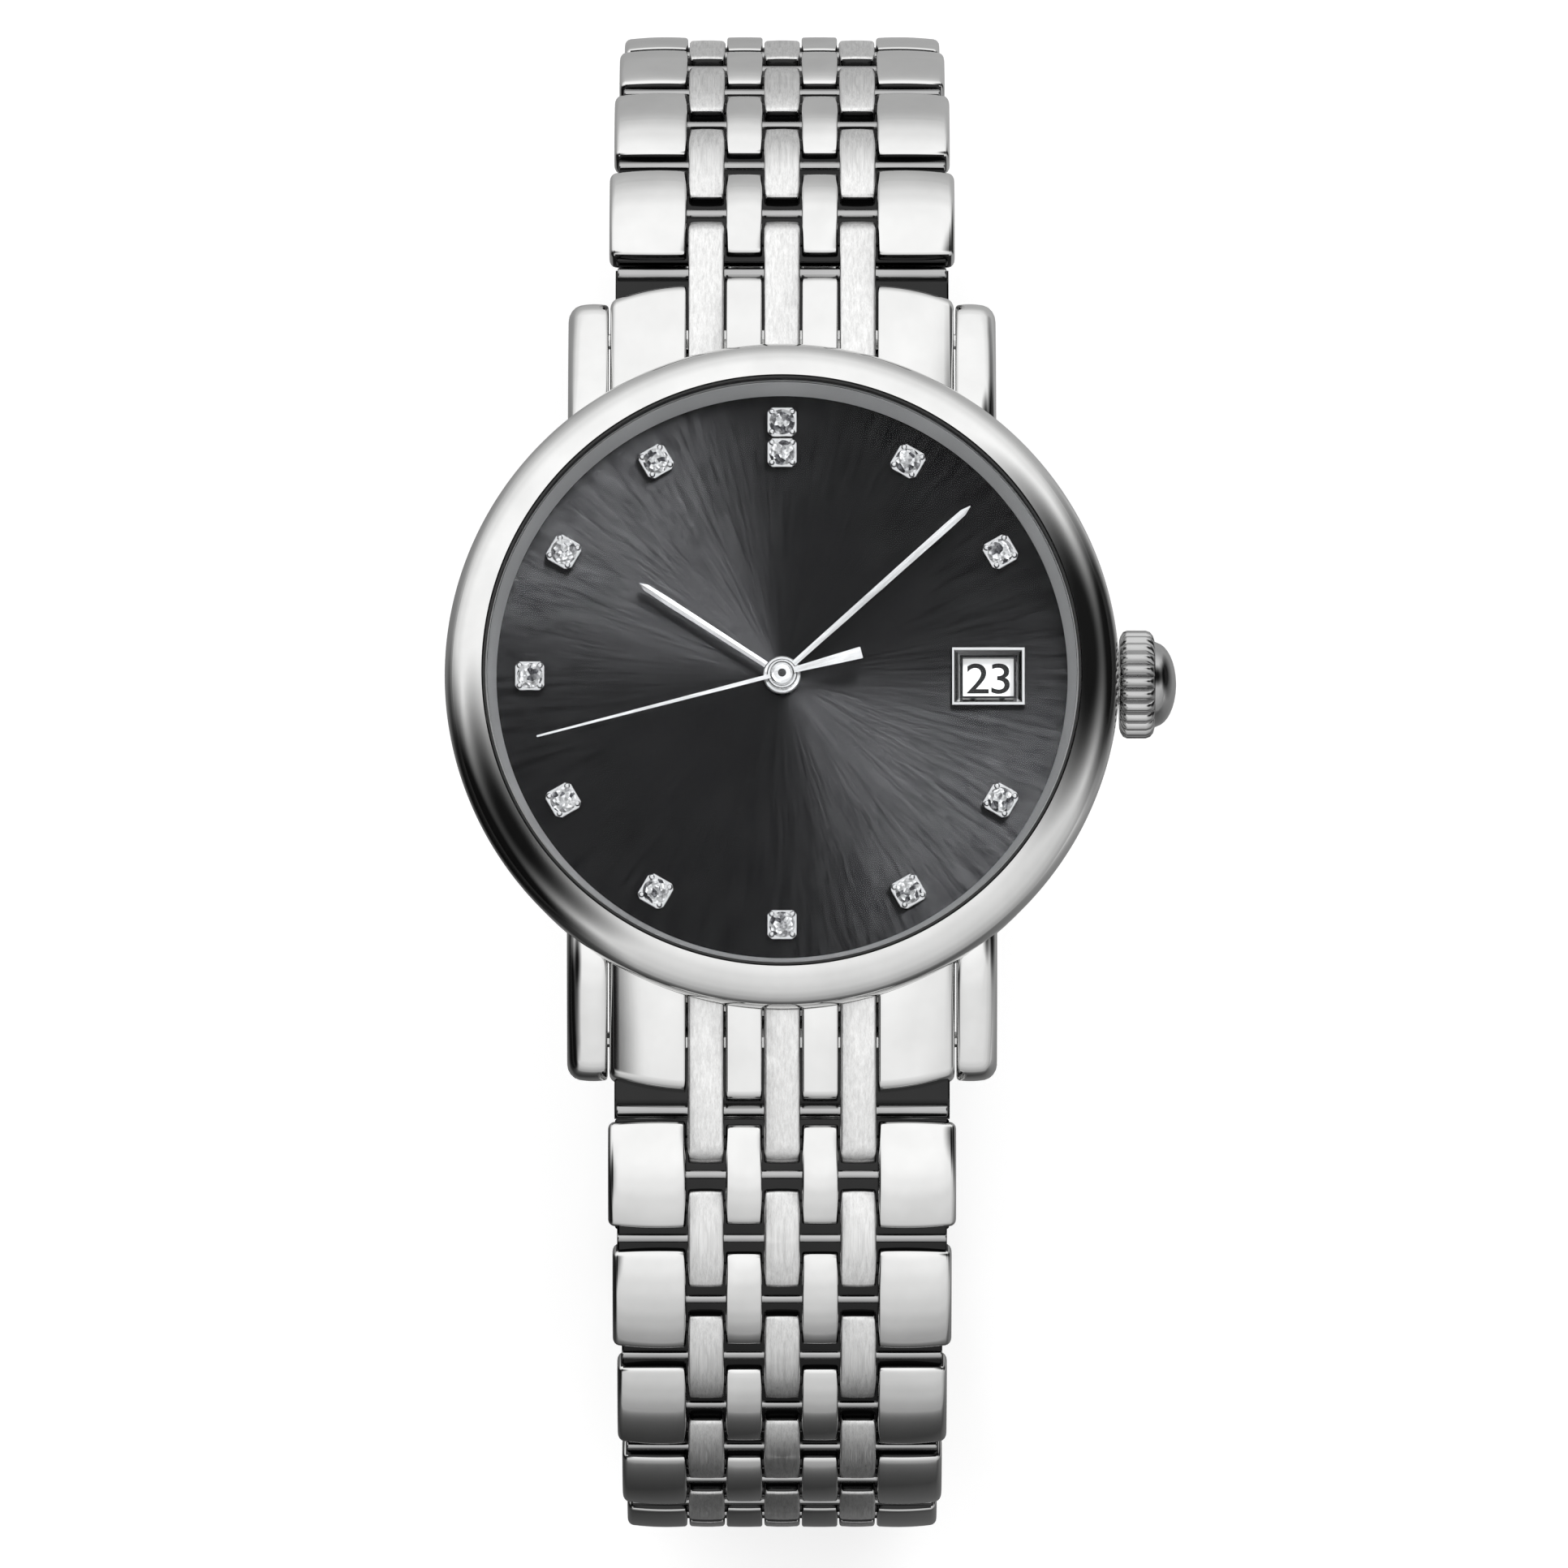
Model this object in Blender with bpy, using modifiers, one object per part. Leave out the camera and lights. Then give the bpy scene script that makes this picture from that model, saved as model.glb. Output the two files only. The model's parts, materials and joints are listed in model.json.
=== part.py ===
"""A round automatic dress watch on a seven-column steel bracelet, closed and dial up.

+Z points out of the dial, +Y to 12 o'clock and +X to the crown. The origin is on the dial axis, at the
outer face of the case back. Lengths are written in millimetres, and MM turns them into metres.
"""

import math

import bmesh
import bpy
from mathutils import Matrix, Vector

MM = 0.001
GAP = 0.1  # between pieces that touch on the real watch

# Case
CASE_R = 16.9
CASE_BORE_R = 14.3
CASE_BOTTOM_Z = 1.0
CASE_TOP_Z = 5.6
BEZEL_R = 17.25
BEZEL_BORE_R = 15.3
BEZEL_BOTTOM_Z = 5.7
BEZEL_EDGE_Z = 6.6
BEZEL_TOP_Z = 8.25
LUG_GAP = 17.86
LUG_WIDTH = 2.07
LUG_TIP_Y = 20.33
LUG_TIP_R = 1.35
SPRING_BAR_Y = 18.2
SPRING_BAR_Z = 2.4
BACK_R = 15.6
BACK_NECK_R = (13.0, 14.2)  # the threaded neck, inside and outside
BACK_NECK_TOP_Z = 2.0
BACK_THICKNESS = 0.9
BACK_WINDOW_R = 10.6
KEY_NOTCHES = 6

# Dial side
CRYSTAL_R = 14.98
CRYSTAL_Z = (7.5, 8.65)
DIAL_R = 14.95
DIAL_BORE_R = 0.95
DIAL_Z = 5.7
DIAL_THICKNESS = 0.35
DATE_X = 10.55
DATE_WINDOW = (2.6, 2.0)
DATE_FRAME = (3.75, 3.0)
DATE_FLARE = (0.35, 0.28)  # how far the rim's opening widens on each side, in X and Y
DATE_DISC_R = (9.0, 12.1)
HAND_THICKNESS = 0.15
HAND_LEVELS = {"hour_hand": 6.5, "minute_hand": 6.82, "seconds_hand": 7.12}
HOUR_ANGLE = 305.0  # clockwise from 12 o'clock
MINUTE_ANGLE = 47.6
SECONDS_ANGLE = 254.0

# Movement
MOVEMENT_R = 12.8
MAIN_PLATE_Z = (4.7, 5.25)
BRIDGE_Z = (2.45, 3.05)
PILLAR_AT = (11.1, (60, 178, 300))  # distance from the axis, and angles
BARREL_AT = (-4.6, 5.0)
BARREL_R = 4.6
BALANCE_AT = (-2.6, -6.4)
BALANCE_R = 4.3
ROTOR_R = 12.4
ROTOR_RIM = 1.5
STEM_Z = 3.85
STEM_R = 0.4

# Crown
CROWN_R = 2.78
CROWN_X = (17.35, 19.15)
CROWN_TIP_X = 20.2
CROWN_DOME_R = 2.15
CROWN_FLUTES = 24
FLUTE_DEPTH = 0.22
TUBE_R = 1.05

# Bracelet: rows of links side by side, alternately four wide-set and three close-set
PITCH = 3.23  # from one row's pin to the next
LINK_R = 1.15  # half the thickness of a link, and the radius of its ends
COLUMN = 1.95  # spacing of the five inner columns
COLUMN_GAP = 0.1
FIRST_PIN_Y = 23.45
FIRST_PIN_Z = 1.9
PIN_R = 0.5
PIN_HOLE_R = 0.78
PIN_SIDES = 6
WIDTH_AT_LUGS = 17.8
TAPER_PER_ROW = 0.22
TAPER_ROWS = 9
END_LINK_Y = 20.9
STRIP_Y = 21.4  # how far the end link's two inner strips reach
FINGER_ROOT_Y = 19.5
END_LINK_SLOPE = 15.0  # of its top, in degrees
CLASP_Z = -31.5  # of the two pins that join the bracelet to the clasp

# Each half: rows, first slope in degrees, bend at each hinge, and how many rows keep that bend.
# Rows beyond them share one bend, which brings the half down to the clasp.
HALVES = {
    "6": {"rows": 16, "slope": 13.1, "bend": 9.88, "near": 9},
    "12": {"rows": 15, "slope": 25.3, "bend": 8.8, "near": 9},
}
JOINED_PAIRS = 2  # pairs of rows at the clasp end of each half that are one piece

# Clasp, its heights counted from the level of the bracelet's last pins
COVER_HALF_WIDTH = 7.8
COVER_WALL = 0.8
COVER_FLOOR = (-1.75, -1.25)
COVER_WALL_TOP = 0.75
FOLD_FROM_12 = 7.0  # from the 12 o'clock half's last pin to the fold between the blades
FOLD_RISE = 0.35
COVER_HINGE_FROM_6 = 6.0  # from the 6 o'clock half's last pin to the cover's hinge
COVER_HINGE_RISE = -0.2
INNER_BLADE = (0.5, 1.1)
MIDDLE_BLADE = (-0.5, 0.1)
BLADE_HALF_WIDTH = 3.4
KNUCKLE_R = 0.75
KNUCKLE_HALF_WIDTH = 1.5
FOLD_PIN_R = 0.35
HINGE_PIN_R = 0.4
BUTTON = (3.0, 1.1)
BUTTON_ROOM = 0.15

ROUND = 40
ROUND_INSIDE = 30
ROUND_SMALL = 16
ROUND_PIN = 8


# ---- scene, materials and small tools ----


def empty_scene():
    for obj in list(bpy.data.objects):
        bpy.data.objects.remove(obj, do_unlink=True)
    for group in list(bpy.data.collections):
        bpy.data.collections.remove(group)


def new_collection(name, hidden=False):
    group = bpy.data.collections.new(name)
    group.hide_render = hidden
    bpy.context.scene.collection.children.link(group)
    return group


def finish_material(name, colour, metallic, roughness, transmission=0.0):
    material = bpy.data.materials.new(name)
    material.use_nodes = True
    shader = material.node_tree.nodes["Principled BSDF"]
    shader.inputs["Base Color"].default_value = (*colour, 1.0)
    shader.inputs["Metallic"].default_value = metallic
    shader.inputs["Roughness"].default_value = roughness
    shader.inputs["Transmission Weight"].default_value = transmission
    return material


def object_of(name, mesh, finish):
    """A named object for a mesh, in the watch's collection, smooth where its faces nearly line up."""
    obj = bpy.data.objects.new(name, mesh)
    WATCH.objects.link(obj)
    mesh.materials.append(FINISHES[finish])
    mesh.shade_smooth()
    mesh.set_sharp_from_angle(angle=math.radians(35))
    return obj


def as_tool(obj):
    """Makes an object a cutter: it shapes others and isn't a piece itself."""
    WATCH.objects.unlink(obj)
    CUTTERS.objects.link(obj)
    obj.hide_render = True
    obj.display_type = "WIRE"
    return obj


def combine(target, tool, operation):
    """A Boolean on the target. The tool is placed in the target's own axes and moves with it."""
    modifier = target.modifiers.new(operation.title(), "BOOLEAN")
    modifier.operation = operation
    modifier.object = as_tool(tool)
    tool.parent = target


def add_to(target, tool):
    combine(target, tool, "UNION")


def cut_from(target, tool):
    combine(target, tool, "DIFFERENCE")


def turned(name, profile, finish, segments=ROUND, solid=False):
    """A profile of (radius, height) turned about Z. It runs down its outer side; a solid one starts and ends
    on the axis, and any other is closed back to its first point."""
    mesh = bpy.data.meshes.new(name)
    points = [(r * MM, 0.0, z * MM) for r, z in profile]
    edges = [(i, i + 1) for i in range(len(points) - 1)]
    if not solid:
        edges.append((len(points) - 1, 0))
    mesh.from_pydata(points, edges, [])
    obj = object_of(name, mesh, finish)
    screw = obj.modifiers.new("Turn", "SCREW")
    screw.steps = segments
    screw.render_steps = segments
    screw.use_merge_vertices = True
    screw.merge_threshold = 0.000001
    return obj


def disc(name, radius, bottom, top, finish, segments=ROUND_SMALL):
    return turned(
        name, [(0, top), (radius, top), (radius, bottom), (0, bottom)], finish, segments, solid=True
    )


def ring(name, inner, outer, bottom, top, finish, segments=ROUND):
    return turned(
        name, [(inner, top), (outer, top), (outer, bottom), (inner, bottom)], finish, segments
    )


def along_x(obj, x=0.0, y=0.0, z=0.0):
    """Lays a piece that was made about Z along X, with its own zero at (x, y, z)."""
    obj.location = Vector((x, y, z)) * MM
    obj.rotation_euler = (0.0, math.pi / 2, 0.0)
    return obj


def plate(name, outlines, low, high, finish, across_x=False):
    """A flat plate of closed outlines, the first its edge and the rest its holes, between two levels.

    The outlines lie in X and Y and the levels are heights. With across_x the outlines lie in Y and Z instead,
    and the levels are places along X."""
    curve = bpy.data.curves.new(name, "CURVE")
    curve.dimensions = "2D"
    curve.fill_mode = "BOTH"
    curve.extrude = (high - low) / 2 * MM
    for outline in outlines:
        spline = curve.splines.new("POLY")
        spline.points.add(len(outline) - 1)
        for point, (u, v) in zip(spline.points, outline):
            point.co = (u * MM, v * MM, 0.0, 1.0)
        spline.use_cyclic_u = True
    guide = bpy.data.objects.new(name, curve)
    WATCH.objects.link(guide)
    graph = bpy.context.evaluated_depsgraph_get()
    mesh = bpy.data.meshes.new_from_object(guide.evaluated_get(graph))
    bpy.data.objects.remove(guide, do_unlink=True)
    bpy.data.curves.remove(curve)
    middle = Matrix.Translation((0.0, 0.0, (high + low) / 2 * MM))
    turn = Matrix(((0, 0, 1, 0), (1, 0, 0, 0), (0, 1, 0, 0), (0, 0, 0, 1)))
    mesh.transform(turn @ middle if across_x else middle)
    weld_and_face_out(mesh)
    mesh.materials.clear()
    return object_of(name, mesh, finish)


def weld_and_face_out(mesh):
    bm = bmesh.new()
    bm.from_mesh(mesh)
    bmesh.ops.remove_doubles(bm, verts=bm.verts, dist=0.000001)
    bmesh.ops.recalc_face_normals(bm, faces=bm.faces)
    bm.to_mesh(mesh)
    bm.free()


def box(name, low, high, finish="steel"):
    mesh = bpy.data.meshes.new(name)
    bm = bmesh.new()
    bmesh.ops.create_cube(bm, size=1.0)
    size = [(b - a) * MM for a, b in zip(low, high)]
    centre = [(a + b) / 2 * MM for a, b in zip(low, high)]
    bmesh.ops.scale(bm, vec=size, verts=bm.verts)
    bmesh.ops.translate(bm, vec=centre, verts=bm.verts)
    bm.to_mesh(mesh)
    bm.free()
    return object_of(name, mesh, finish)


def gathered(name, pieces, finish):
    """One object holding the meshes of several, which may stay apart until a pin or a plate joins them."""
    bm = bmesh.new()
    for piece in pieces:
        piece.data.transform(piece.matrix_basis)
        bm.from_mesh(piece.data)
        bpy.data.objects.remove(piece, do_unlink=True)
    mesh = bpy.data.meshes.new(name)
    bm.to_mesh(mesh)
    bm.free()
    return object_of(name, mesh, finish)


def arc(centre, radius, start, end, steps):
    """Points along an arc, its angles in degrees counted from the first axis to the second."""
    return [
        (
            centre[0] + radius * math.cos(math.radians(start + (end - start) * i / steps)),
            centre[1] + radius * math.sin(math.radians(start + (end - start) * i / steps)),
        )
        for i in range(steps + 1)
    ]


def circle(centre, radius, sides):
    return arc(centre, radius, 0, 360 * (sides - 1) / sides, sides - 1)


def rod(name, radius, half_length, y, z, finish, sides=ROUND_PIN):
    """A round bar along X, centred on the watch's middle plane."""
    mesh = bpy.data.meshes.new(name)
    bm = bmesh.new()
    bmesh.ops.create_cone(
        bm, cap_ends=True, segments=sides, radius1=radius * MM, radius2=radius * MM,
        depth=2 * half_length * MM,
    )
    bm.transform(Matrix.Translation(Vector((0, y, z)) * MM) @ Matrix.Rotation(math.pi / 2, 4, "Y"))
    bm.to_mesh(mesh)
    bm.free()
    return object_of(name, mesh, finish)


# ---- case ----


def mid_case():
    """The case band with its four lugs, bored for the movement, the crown tube and the spring bars."""
    band = turned(
        "mid_case",
        [
            (CASE_BORE_R, CASE_TOP_Z),
            (CASE_R - 0.3, CASE_TOP_Z),
            (CASE_R, CASE_TOP_Z - 0.5),
            (CASE_R, CASE_BOTTOM_Z + 1.2),
            (CASE_R - 0.9, CASE_BOTTOM_Z),
            (CASE_BORE_R, CASE_BOTTOM_Z),
        ],
        "steel",
    )
    side = [
        (12.2, CASE_BOTTOM_Z + 0.3),
        (17.2, 0.75),
        *arc((LUG_TIP_Y - LUG_TIP_R, 1.85), LUG_TIP_R, -75, 60, 6),
        (17.4, 3.95),
        (15.2, 4.9),
        (12.2, CASE_TOP_Z - 0.4),
    ]
    lugs = []
    inner = LUG_GAP / 2
    for low, high in ((inner, inner + LUG_WIDTH), (-inner - LUG_WIDTH, -inner)):
        lugs.append(plate("lug", [side], low, high, "steel", across_x=True))
        mirrored = [(-y, z) for y, z in reversed(side)]
        lugs.append(plate("lug", [mirrored], low, high, "steel", across_x=True))
    add_to(band, gathered("lugs", lugs, "steel"))
    cut_from(band, along_x(disc("tube_bore", TUBE_R + GAP, 0, 6, "steel"), 13.0, 0, STEM_Z))
    for y in (SPRING_BAR_Y, -SPRING_BAR_Y):
        cut_from(band, rod("bar_bore", 0.6, inner + 1.2, y, SPRING_BAR_Z, "steel"))


def bezel():
    rise = BEZEL_TOP_Z - BEZEL_EDGE_Z
    width = BEZEL_R - BEZEL_BORE_R
    crown_line = [
        (
            BEZEL_BORE_R + width * math.sin(math.radians(a)),
            BEZEL_EDGE_Z + rise * math.cos(math.radians(a)),
        )
        for a in (8, 30, 52, 72, 90)
    ]
    turned(
        "bezel",
        [
            (BEZEL_BORE_R, BEZEL_TOP_Z - 0.15),
            *crown_line,
            (BEZEL_R - 0.25, BEZEL_BOTTOM_Z),
            (BEZEL_BORE_R, BEZEL_BOTTOM_Z),
        ],
        "steel",
    )


def crystal():
    bottom, top = CRYSTAL_Z
    turned(
        "crystal",
        [
            (0, top),
            (0.6 * CRYSTAL_R, top - 0.07),
            (CRYSTAL_R - 0.28, top - 0.25),
            (CRYSTAL_R, top - 0.45),
            (CRYSTAL_R, bottom),
            (0, bottom),
        ],
        "sapphire",
        solid=True,
    )
    ring("crystal_gasket", CRYSTAL_R + 0.05, BEZEL_BORE_R - 0.08, bottom, top - 0.55, "nylon")


def case_back():
    """The screwed ring with its threaded neck and key notches, its window and its seal."""
    inner, outer = BACK_NECK_R
    back = turned(
        "case_back_ring",
        [
            (inner, BACK_NECK_TOP_Z),
            (outer, BACK_NECK_TOP_Z),
            (outer, BACK_THICKNESS),
            (BACK_R, BACK_THICKNESS),
            (BACK_R, 0.35),
            (BACK_R - 0.7, 0.0),
            (BACK_WINDOW_R, 0.0),
            (BACK_WINDOW_R, BACK_THICKNESS),
            (inner, BACK_THICKNESS),
        ],
        "steel",
    )
    notches = []
    for k in range(KEY_NOTCHES):
        notch = box("key_notch", (12.6, -0.8, -1.0), (14.0, 0.8, 0.35))
        notch.data.transform(Matrix.Rotation(2 * math.pi * k / KEY_NOTCHES, 4, "Z"))
        notches.append(notch)
    cut_from(back, gathered("key_notches", notches, "steel"))
    disc("case_back_crystal", BACK_WINDOW_R - GAP, 0.0, BACK_THICKNESS + 0.05, "sapphire", ROUND)
    seal_z = BACK_NECK_TOP_Z + GAP
    ring("case_back_gasket", inner + 0.2, outer - 0.3, seal_z, seal_z + 0.4, "rubber", ROUND_INSIDE)


def spring_bars():
    """The two bars between the lugs, each with a thin pivot at either end."""
    half = LUG_GAP / 2 - 0.15
    tip = half + 0.8
    bar_r, pivot_r = 0.7, 0.4
    upper = [(0, tip), (pivot_r, tip), (pivot_r, half), (bar_r, half)]
    lower = [(r, -z) for r, z in reversed(upper)]
    for name, y in (("spring_bar_12", SPRING_BAR_Y), ("spring_bar_6", -SPRING_BAR_Y)):
        bar = turned(name, [*upper, *lower], "steel", ROUND_PIN, solid=True)
        along_x(bar, 0, y, SPRING_BAR_Z)


# ---- dial side ----


def dial():
    top = DIAL_Z + DIAL_THICKNESS
    face = ring("dial", DIAL_BORE_R, DIAL_R, DIAL_Z, top, "dial_lacquer")
    half_x, half_y = DATE_WINDOW[0] / 2, DATE_WINDOW[1] / 2
    low, high = (DATE_X - half_x, -half_y, DIAL_Z - 1), (DATE_X + half_x, half_y, top + 1)
    cut_from(face, box("date_opening", low, high))


def rehaut():
    """The sloping ring between the dial's edge and the crystal."""
    low, high = DIAL_Z + DIAL_THICKNESS + GAP, CRYSTAL_Z[0] - GAP
    outer = BEZEL_BORE_R - GAP
    turned("rehaut_ring", [(outer - 0.2, high), (outer, high), (outer, low), (outer - 0.48, low)], "steel")


def date_frame():
    """The bevelled rim on the date window, made from an outer block with a flared opening."""
    half_x, half_y = DATE_FRAME[0] / 2, DATE_FRAME[1] / 2
    low = DIAL_Z + DIAL_THICKNESS + 0.05
    high = low + 0.25
    frame = box("date_frame", (DATE_X - half_x, -half_y, low), (DATE_X + half_x, half_y, high))
    inner_x, inner_y = DATE_WINDOW[0] / 2, DATE_WINDOW[1] / 2
    flare = box("date_flare", (-inner_x, -inner_y, low - 0.2), (inner_x, inner_y, high + 0.05))
    for vert in flare.data.vertices:
        widened = 1.1 if vert.co.z > low * MM else 0.2
        vert.co.x += math.copysign(widened * DATE_FLARE[0] * MM, vert.co.x) + DATE_X * MM
        vert.co.y += math.copysign(widened * DATE_FLARE[1] * MM, vert.co.y)
    cut_from(frame, flare)


def date_disc():
    ring("date_disc", *DATE_DISC_R, 5.37, 5.52, "enamel", ROUND)


def hand(name, outline, hub_r, tube, angle):
    """A flat hand that points to 12 o'clock before it is turned, on a tube or pin that runs down from it:
    tube is (its radius, the radius of its bore, how far it reaches below the blade)."""
    tube_r, bore_r, reach = tube
    level = HAND_LEVELS[name]
    top = level + HAND_THICKNESS
    bottom = level - reach
    blade = plate(name, [outline], level, top, "polished_hand")
    boss = [(0, top + 0.1), (hub_r - 0.1, top + 0.1), (hub_r, top), (hub_r, level), (tube_r, level - 0.05)]
    boss += [(tube_r, bottom), (0, bottom)]
    add_to(blade, turned("boss", boss, "polished_hand", ROUND_SMALL, solid=True))
    if bore_r:
        cut_from(blade, disc("bore", bore_r, bottom - 1, top + 1, "polished_hand"))
    blade.rotation_euler = (0.0, 0.0, -math.radians(angle))


def pointed(near, far, shoulder, length):
    """A baton's outline, from half its width at the hub to half its width at the shoulder, then a point."""
    return [(-near, 0.3), (near, 0.3), (far, shoulder), (0.0, length), (-far, shoulder)]


def hands():
    hand("hour_hand", pointed(0.16, 0.3, 6.9, 8.7), 0.98, (0.8, 0.62, 1.15), HOUR_ANGLE)
    hand("minute_hand", pointed(0.15, 0.25, 10.6, 13.0), 0.78, (0.5, 0.32, 1.6), MINUTE_ANGLE)
    needle = [(-0.12, 0.0), (-0.28, -4.2), (0.28, -4.2), (0.12, 0.0), (0.05, 12.95), (-0.05, 12.95)]
    hand("seconds_hand", needle, 0.62, (0.2, 0, 2.2), SECONDS_ANGLE)


# ---- movement ----


def movement():
    holder_r = (MOVEMENT_R + 0.2, CASE_BORE_R - 0.15)
    holder = ring("movement_holder", *holder_r, 2.65, 5.55, "nylon", ROUND_INSIDE)
    cut_from(holder, along_x(disc("stem_way", 0.75, 0, 4, "steel"), 11.5, 0, STEM_Z))
    ring("main_plate", 1.0, MOVEMENT_R, *MAIN_PLATE_Z, "rhodium", ROUND_INSIDE)
    bridge()
    barrel()
    balance_wheel()
    rotor()
    setting_lever()


def at(obj, x, y):
    obj.location = Vector((x, y, 0)) * MM
    return obj


def bridge():
    """The automatic bridge: a round plate, open over the balance, held on three pillars to the main plate."""
    low, high = BRIDGE_Z
    cover_plate = disc("automatic_bridge", MOVEMENT_R - 0.6, low, high, "rhodium", ROUND_INSIDE)
    distance, angles = PILLAR_AT
    for angle in map(math.radians, angles):
        pillar = disc("pillar", 0.8, low + 0.25, MAIN_PLATE_Z[0] - 0.08, "rhodium", ROUND_PIN)
        add_to(cover_plate, at(pillar, distance * math.cos(angle), distance * math.sin(angle)))
    window = disc("balance_window", BALANCE_R + 0.6, low - 0.45, high + 0.55, "rhodium")
    cut_from(cover_plate, at(window, *BALANCE_AT))


def barrel():
    """The mainspring's drum, with a toothed rim's disc about its middle and an arbor above and below."""
    arbor_r = 0.6
    drum = turned(
        "mainspring_barrel",
        [
            (0, 4.6),
            (arbor_r, 4.6),
            (arbor_r, 4.3),
            (BARREL_R, 4.3),
            (BARREL_R, 3.9),
            (BARREL_R + 0.5, 3.9),
            (BARREL_R + 0.5, 3.7),
            (BARREL_R, 3.7),
            (BARREL_R, 3.3),
            (arbor_r, 3.3),
            (arbor_r, 3.15),
            (0, 3.15),
        ],
        "brass", ROUND_SMALL, solid=True,
    )
    at(drum, *BARREL_AT)


def balance_wheel():
    rim = ring("balance_wheel", BALANCE_R - 0.6, BALANCE_R, 3.3, 3.75, "brass", ROUND_INSIDE)
    reach = BALANCE_R - 0.3
    add_to(rim, box("spokes", (-reach, -0.25, 3.4), (reach, 0.25, 3.65), "brass"))
    add_to(rim, disc("staff", 0.35, 2.9, 4.6, "brass", ROUND_PIN))
    at(rim, *BALANCE_AT)


def rotor():
    """The winding weight: a half disc with a heavy rim, on a bearing at the centre."""
    half = arc((0, 0), ROTOR_R, 180, 360, 16)
    web = plate("rotor", [[*half, (1.4, 0.9), (-1.4, 0.9)]], 1.2, 1.6, "rhodium")
    outer = arc((0, 0), ROTOR_R, 181, 359, 16)
    inner = arc((0, 0), ROTOR_R - ROTOR_RIM, 359, 181, 16)
    add_to(web, plate("rim", [[*outer, *inner]], 1.4, 2.3, "rhodium"))
    add_to(web, disc("hub", 2.0, 1.1, BRIDGE_Z[0] - GAP, "rhodium"))


def setting_lever():
    lever = box("setting_lever", (10.6, -0.8, 3.2), (11.1, 3.2, 4.55), "rhodium")
    cut_from(lever, along_x(disc("stem_eye", STEM_R + 0.12, 0, 3, "rhodium", ROUND_PIN), 9.5, 0, STEM_Z))


# ---- crown ----


def crown():
    """The fluted crown with its plain domed end, its stem, and the tube that it slides on."""
    start, end = CROWN_X
    step = 2 * math.pi / CROWN_FLUTES
    across_tooth = ((-0.32, CROWN_R), (0.32, CROWN_R), (0.5, CROWN_R - FLUTE_DEPTH))
    teeth = [
        (radius * math.cos((k + share) * step), radius * math.sin((k + share) * step))
        for k in range(CROWN_FLUTES)
        for share, radius in across_tooth
    ]
    knob = plate("crown", [teeth], start, end, "steel")
    dome = [(0, CROWN_TIP_X)]
    for angle in map(math.radians, (25, 50, 72)):
        dome.append((CROWN_DOME_R * math.sin(angle), end + (CROWN_TIP_X - end) * math.cos(angle)))
    dome += [(CROWN_DOME_R, end - 0.2), (0, end - 0.2)]
    add_to(knob, turned("dome", dome, "steel", 24, solid=True))
    cut_from(knob, disc("tube_socket", TUBE_R + 0.2, start - 1, 18.3, "steel"))
    cut_from(knob, disc("stem_socket", STEM_R + 0.15, start - 1, end + 0.05, "steel"))
    along_x(knob, 0, 0, STEM_Z)
    stem = disc("winding_stem", STEM_R, 6.6, end - 0.05, "rhodium", ROUND_PIN)
    along_x(stem, 0, 0, STEM_Z)
    tube = ring("crown_tube", STEM_R + 0.2, TUBE_R, 14.5, 18.1, "steel", ROUND_SMALL)
    along_x(tube, 0, 0, STEM_Z)


# ---- bracelet ----


def columns(wide_set, half_width):
    """The places across the bracelet of a row's links: four in a wide-set row and three in a close-set one."""
    half = (COLUMN - COLUMN_GAP) / 2
    if not wide_set:
        return [(centre - half, centre + half) for centre in (-2 * COLUMN, 0.0, 2 * COLUMN)]
    inner = [(centre - half, centre + half) for centre in (-COLUMN, COLUMN)]
    edge = 2.5 * COLUMN + COLUMN_GAP / 2
    return [(-half_width, -edge), *inner, (edge, half_width)]


def link_outlines(length=PITCH):
    """A link seen from the side, round about the pins at its two ends, with the hole for the next row's pin."""
    near = arc((0, 0), LINK_R, 90, 270, 3)
    far = arc((length, 0), LINK_R, -90, 90, 3)
    return [[*near, *far], circle((length, 0), PIN_HOLE_R, PIN_SIDES)]


def half_width_of(row):
    return (WIDTH_AT_LUGS - TAPER_PER_ROW * (min(row, TAPER_ROWS) - 1)) / 2


def row_of_links(name, row):
    """The links of one row, gathered in one mesh, and the pin through their near ends. Row 1 is wide-set."""
    wide_set = row % 2 == 1
    half_width = half_width_of(row)
    links = [
        plate("link", link_outlines(), low, high, "steel", across_x=True)
        for low, high in columns(wide_set, half_width)
    ]
    pin_half = half_width - 0.6 if wide_set else half_width_of(row - 1) - 0.2
    return gathered(name, links, "steel"), rod("pin", PIN_R, pin_half, 0, 0, "steel", PIN_SIDES)


def slopes_of(half, far_bend):
    """The slope of each row of a half, from the lugs to the clasp."""
    slopes = []
    for row in range(half["rows"]):
        near_bends = min(row, half["near"] - 1)
        slopes.append(half["slope"] + near_bends * half["bend"] + (row - near_bends) * far_bend)
    return slopes


def end_of(half, far_bend):
    """Where the last row's far pin comes, as (distance from the dial axis, height)."""
    y, z = FIRST_PIN_Y, FIRST_PIN_Z
    for slope in slopes_of(half, far_bend):
        y += PITCH * math.cos(math.radians(slope))
        z -= PITCH * math.sin(math.radians(slope))
    return y, z


def far_bend_of(half):
    """The bend of the rows beyond the near ones that brings the last pin to the clasp's level."""
    low, high = 8.0, 14.0
    for _ in range(40):
        middle = (low + high) / 2
        if end_of(half, middle)[1] < CLASP_Z:
            low = middle
        else:
            high = middle
    return low


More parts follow.
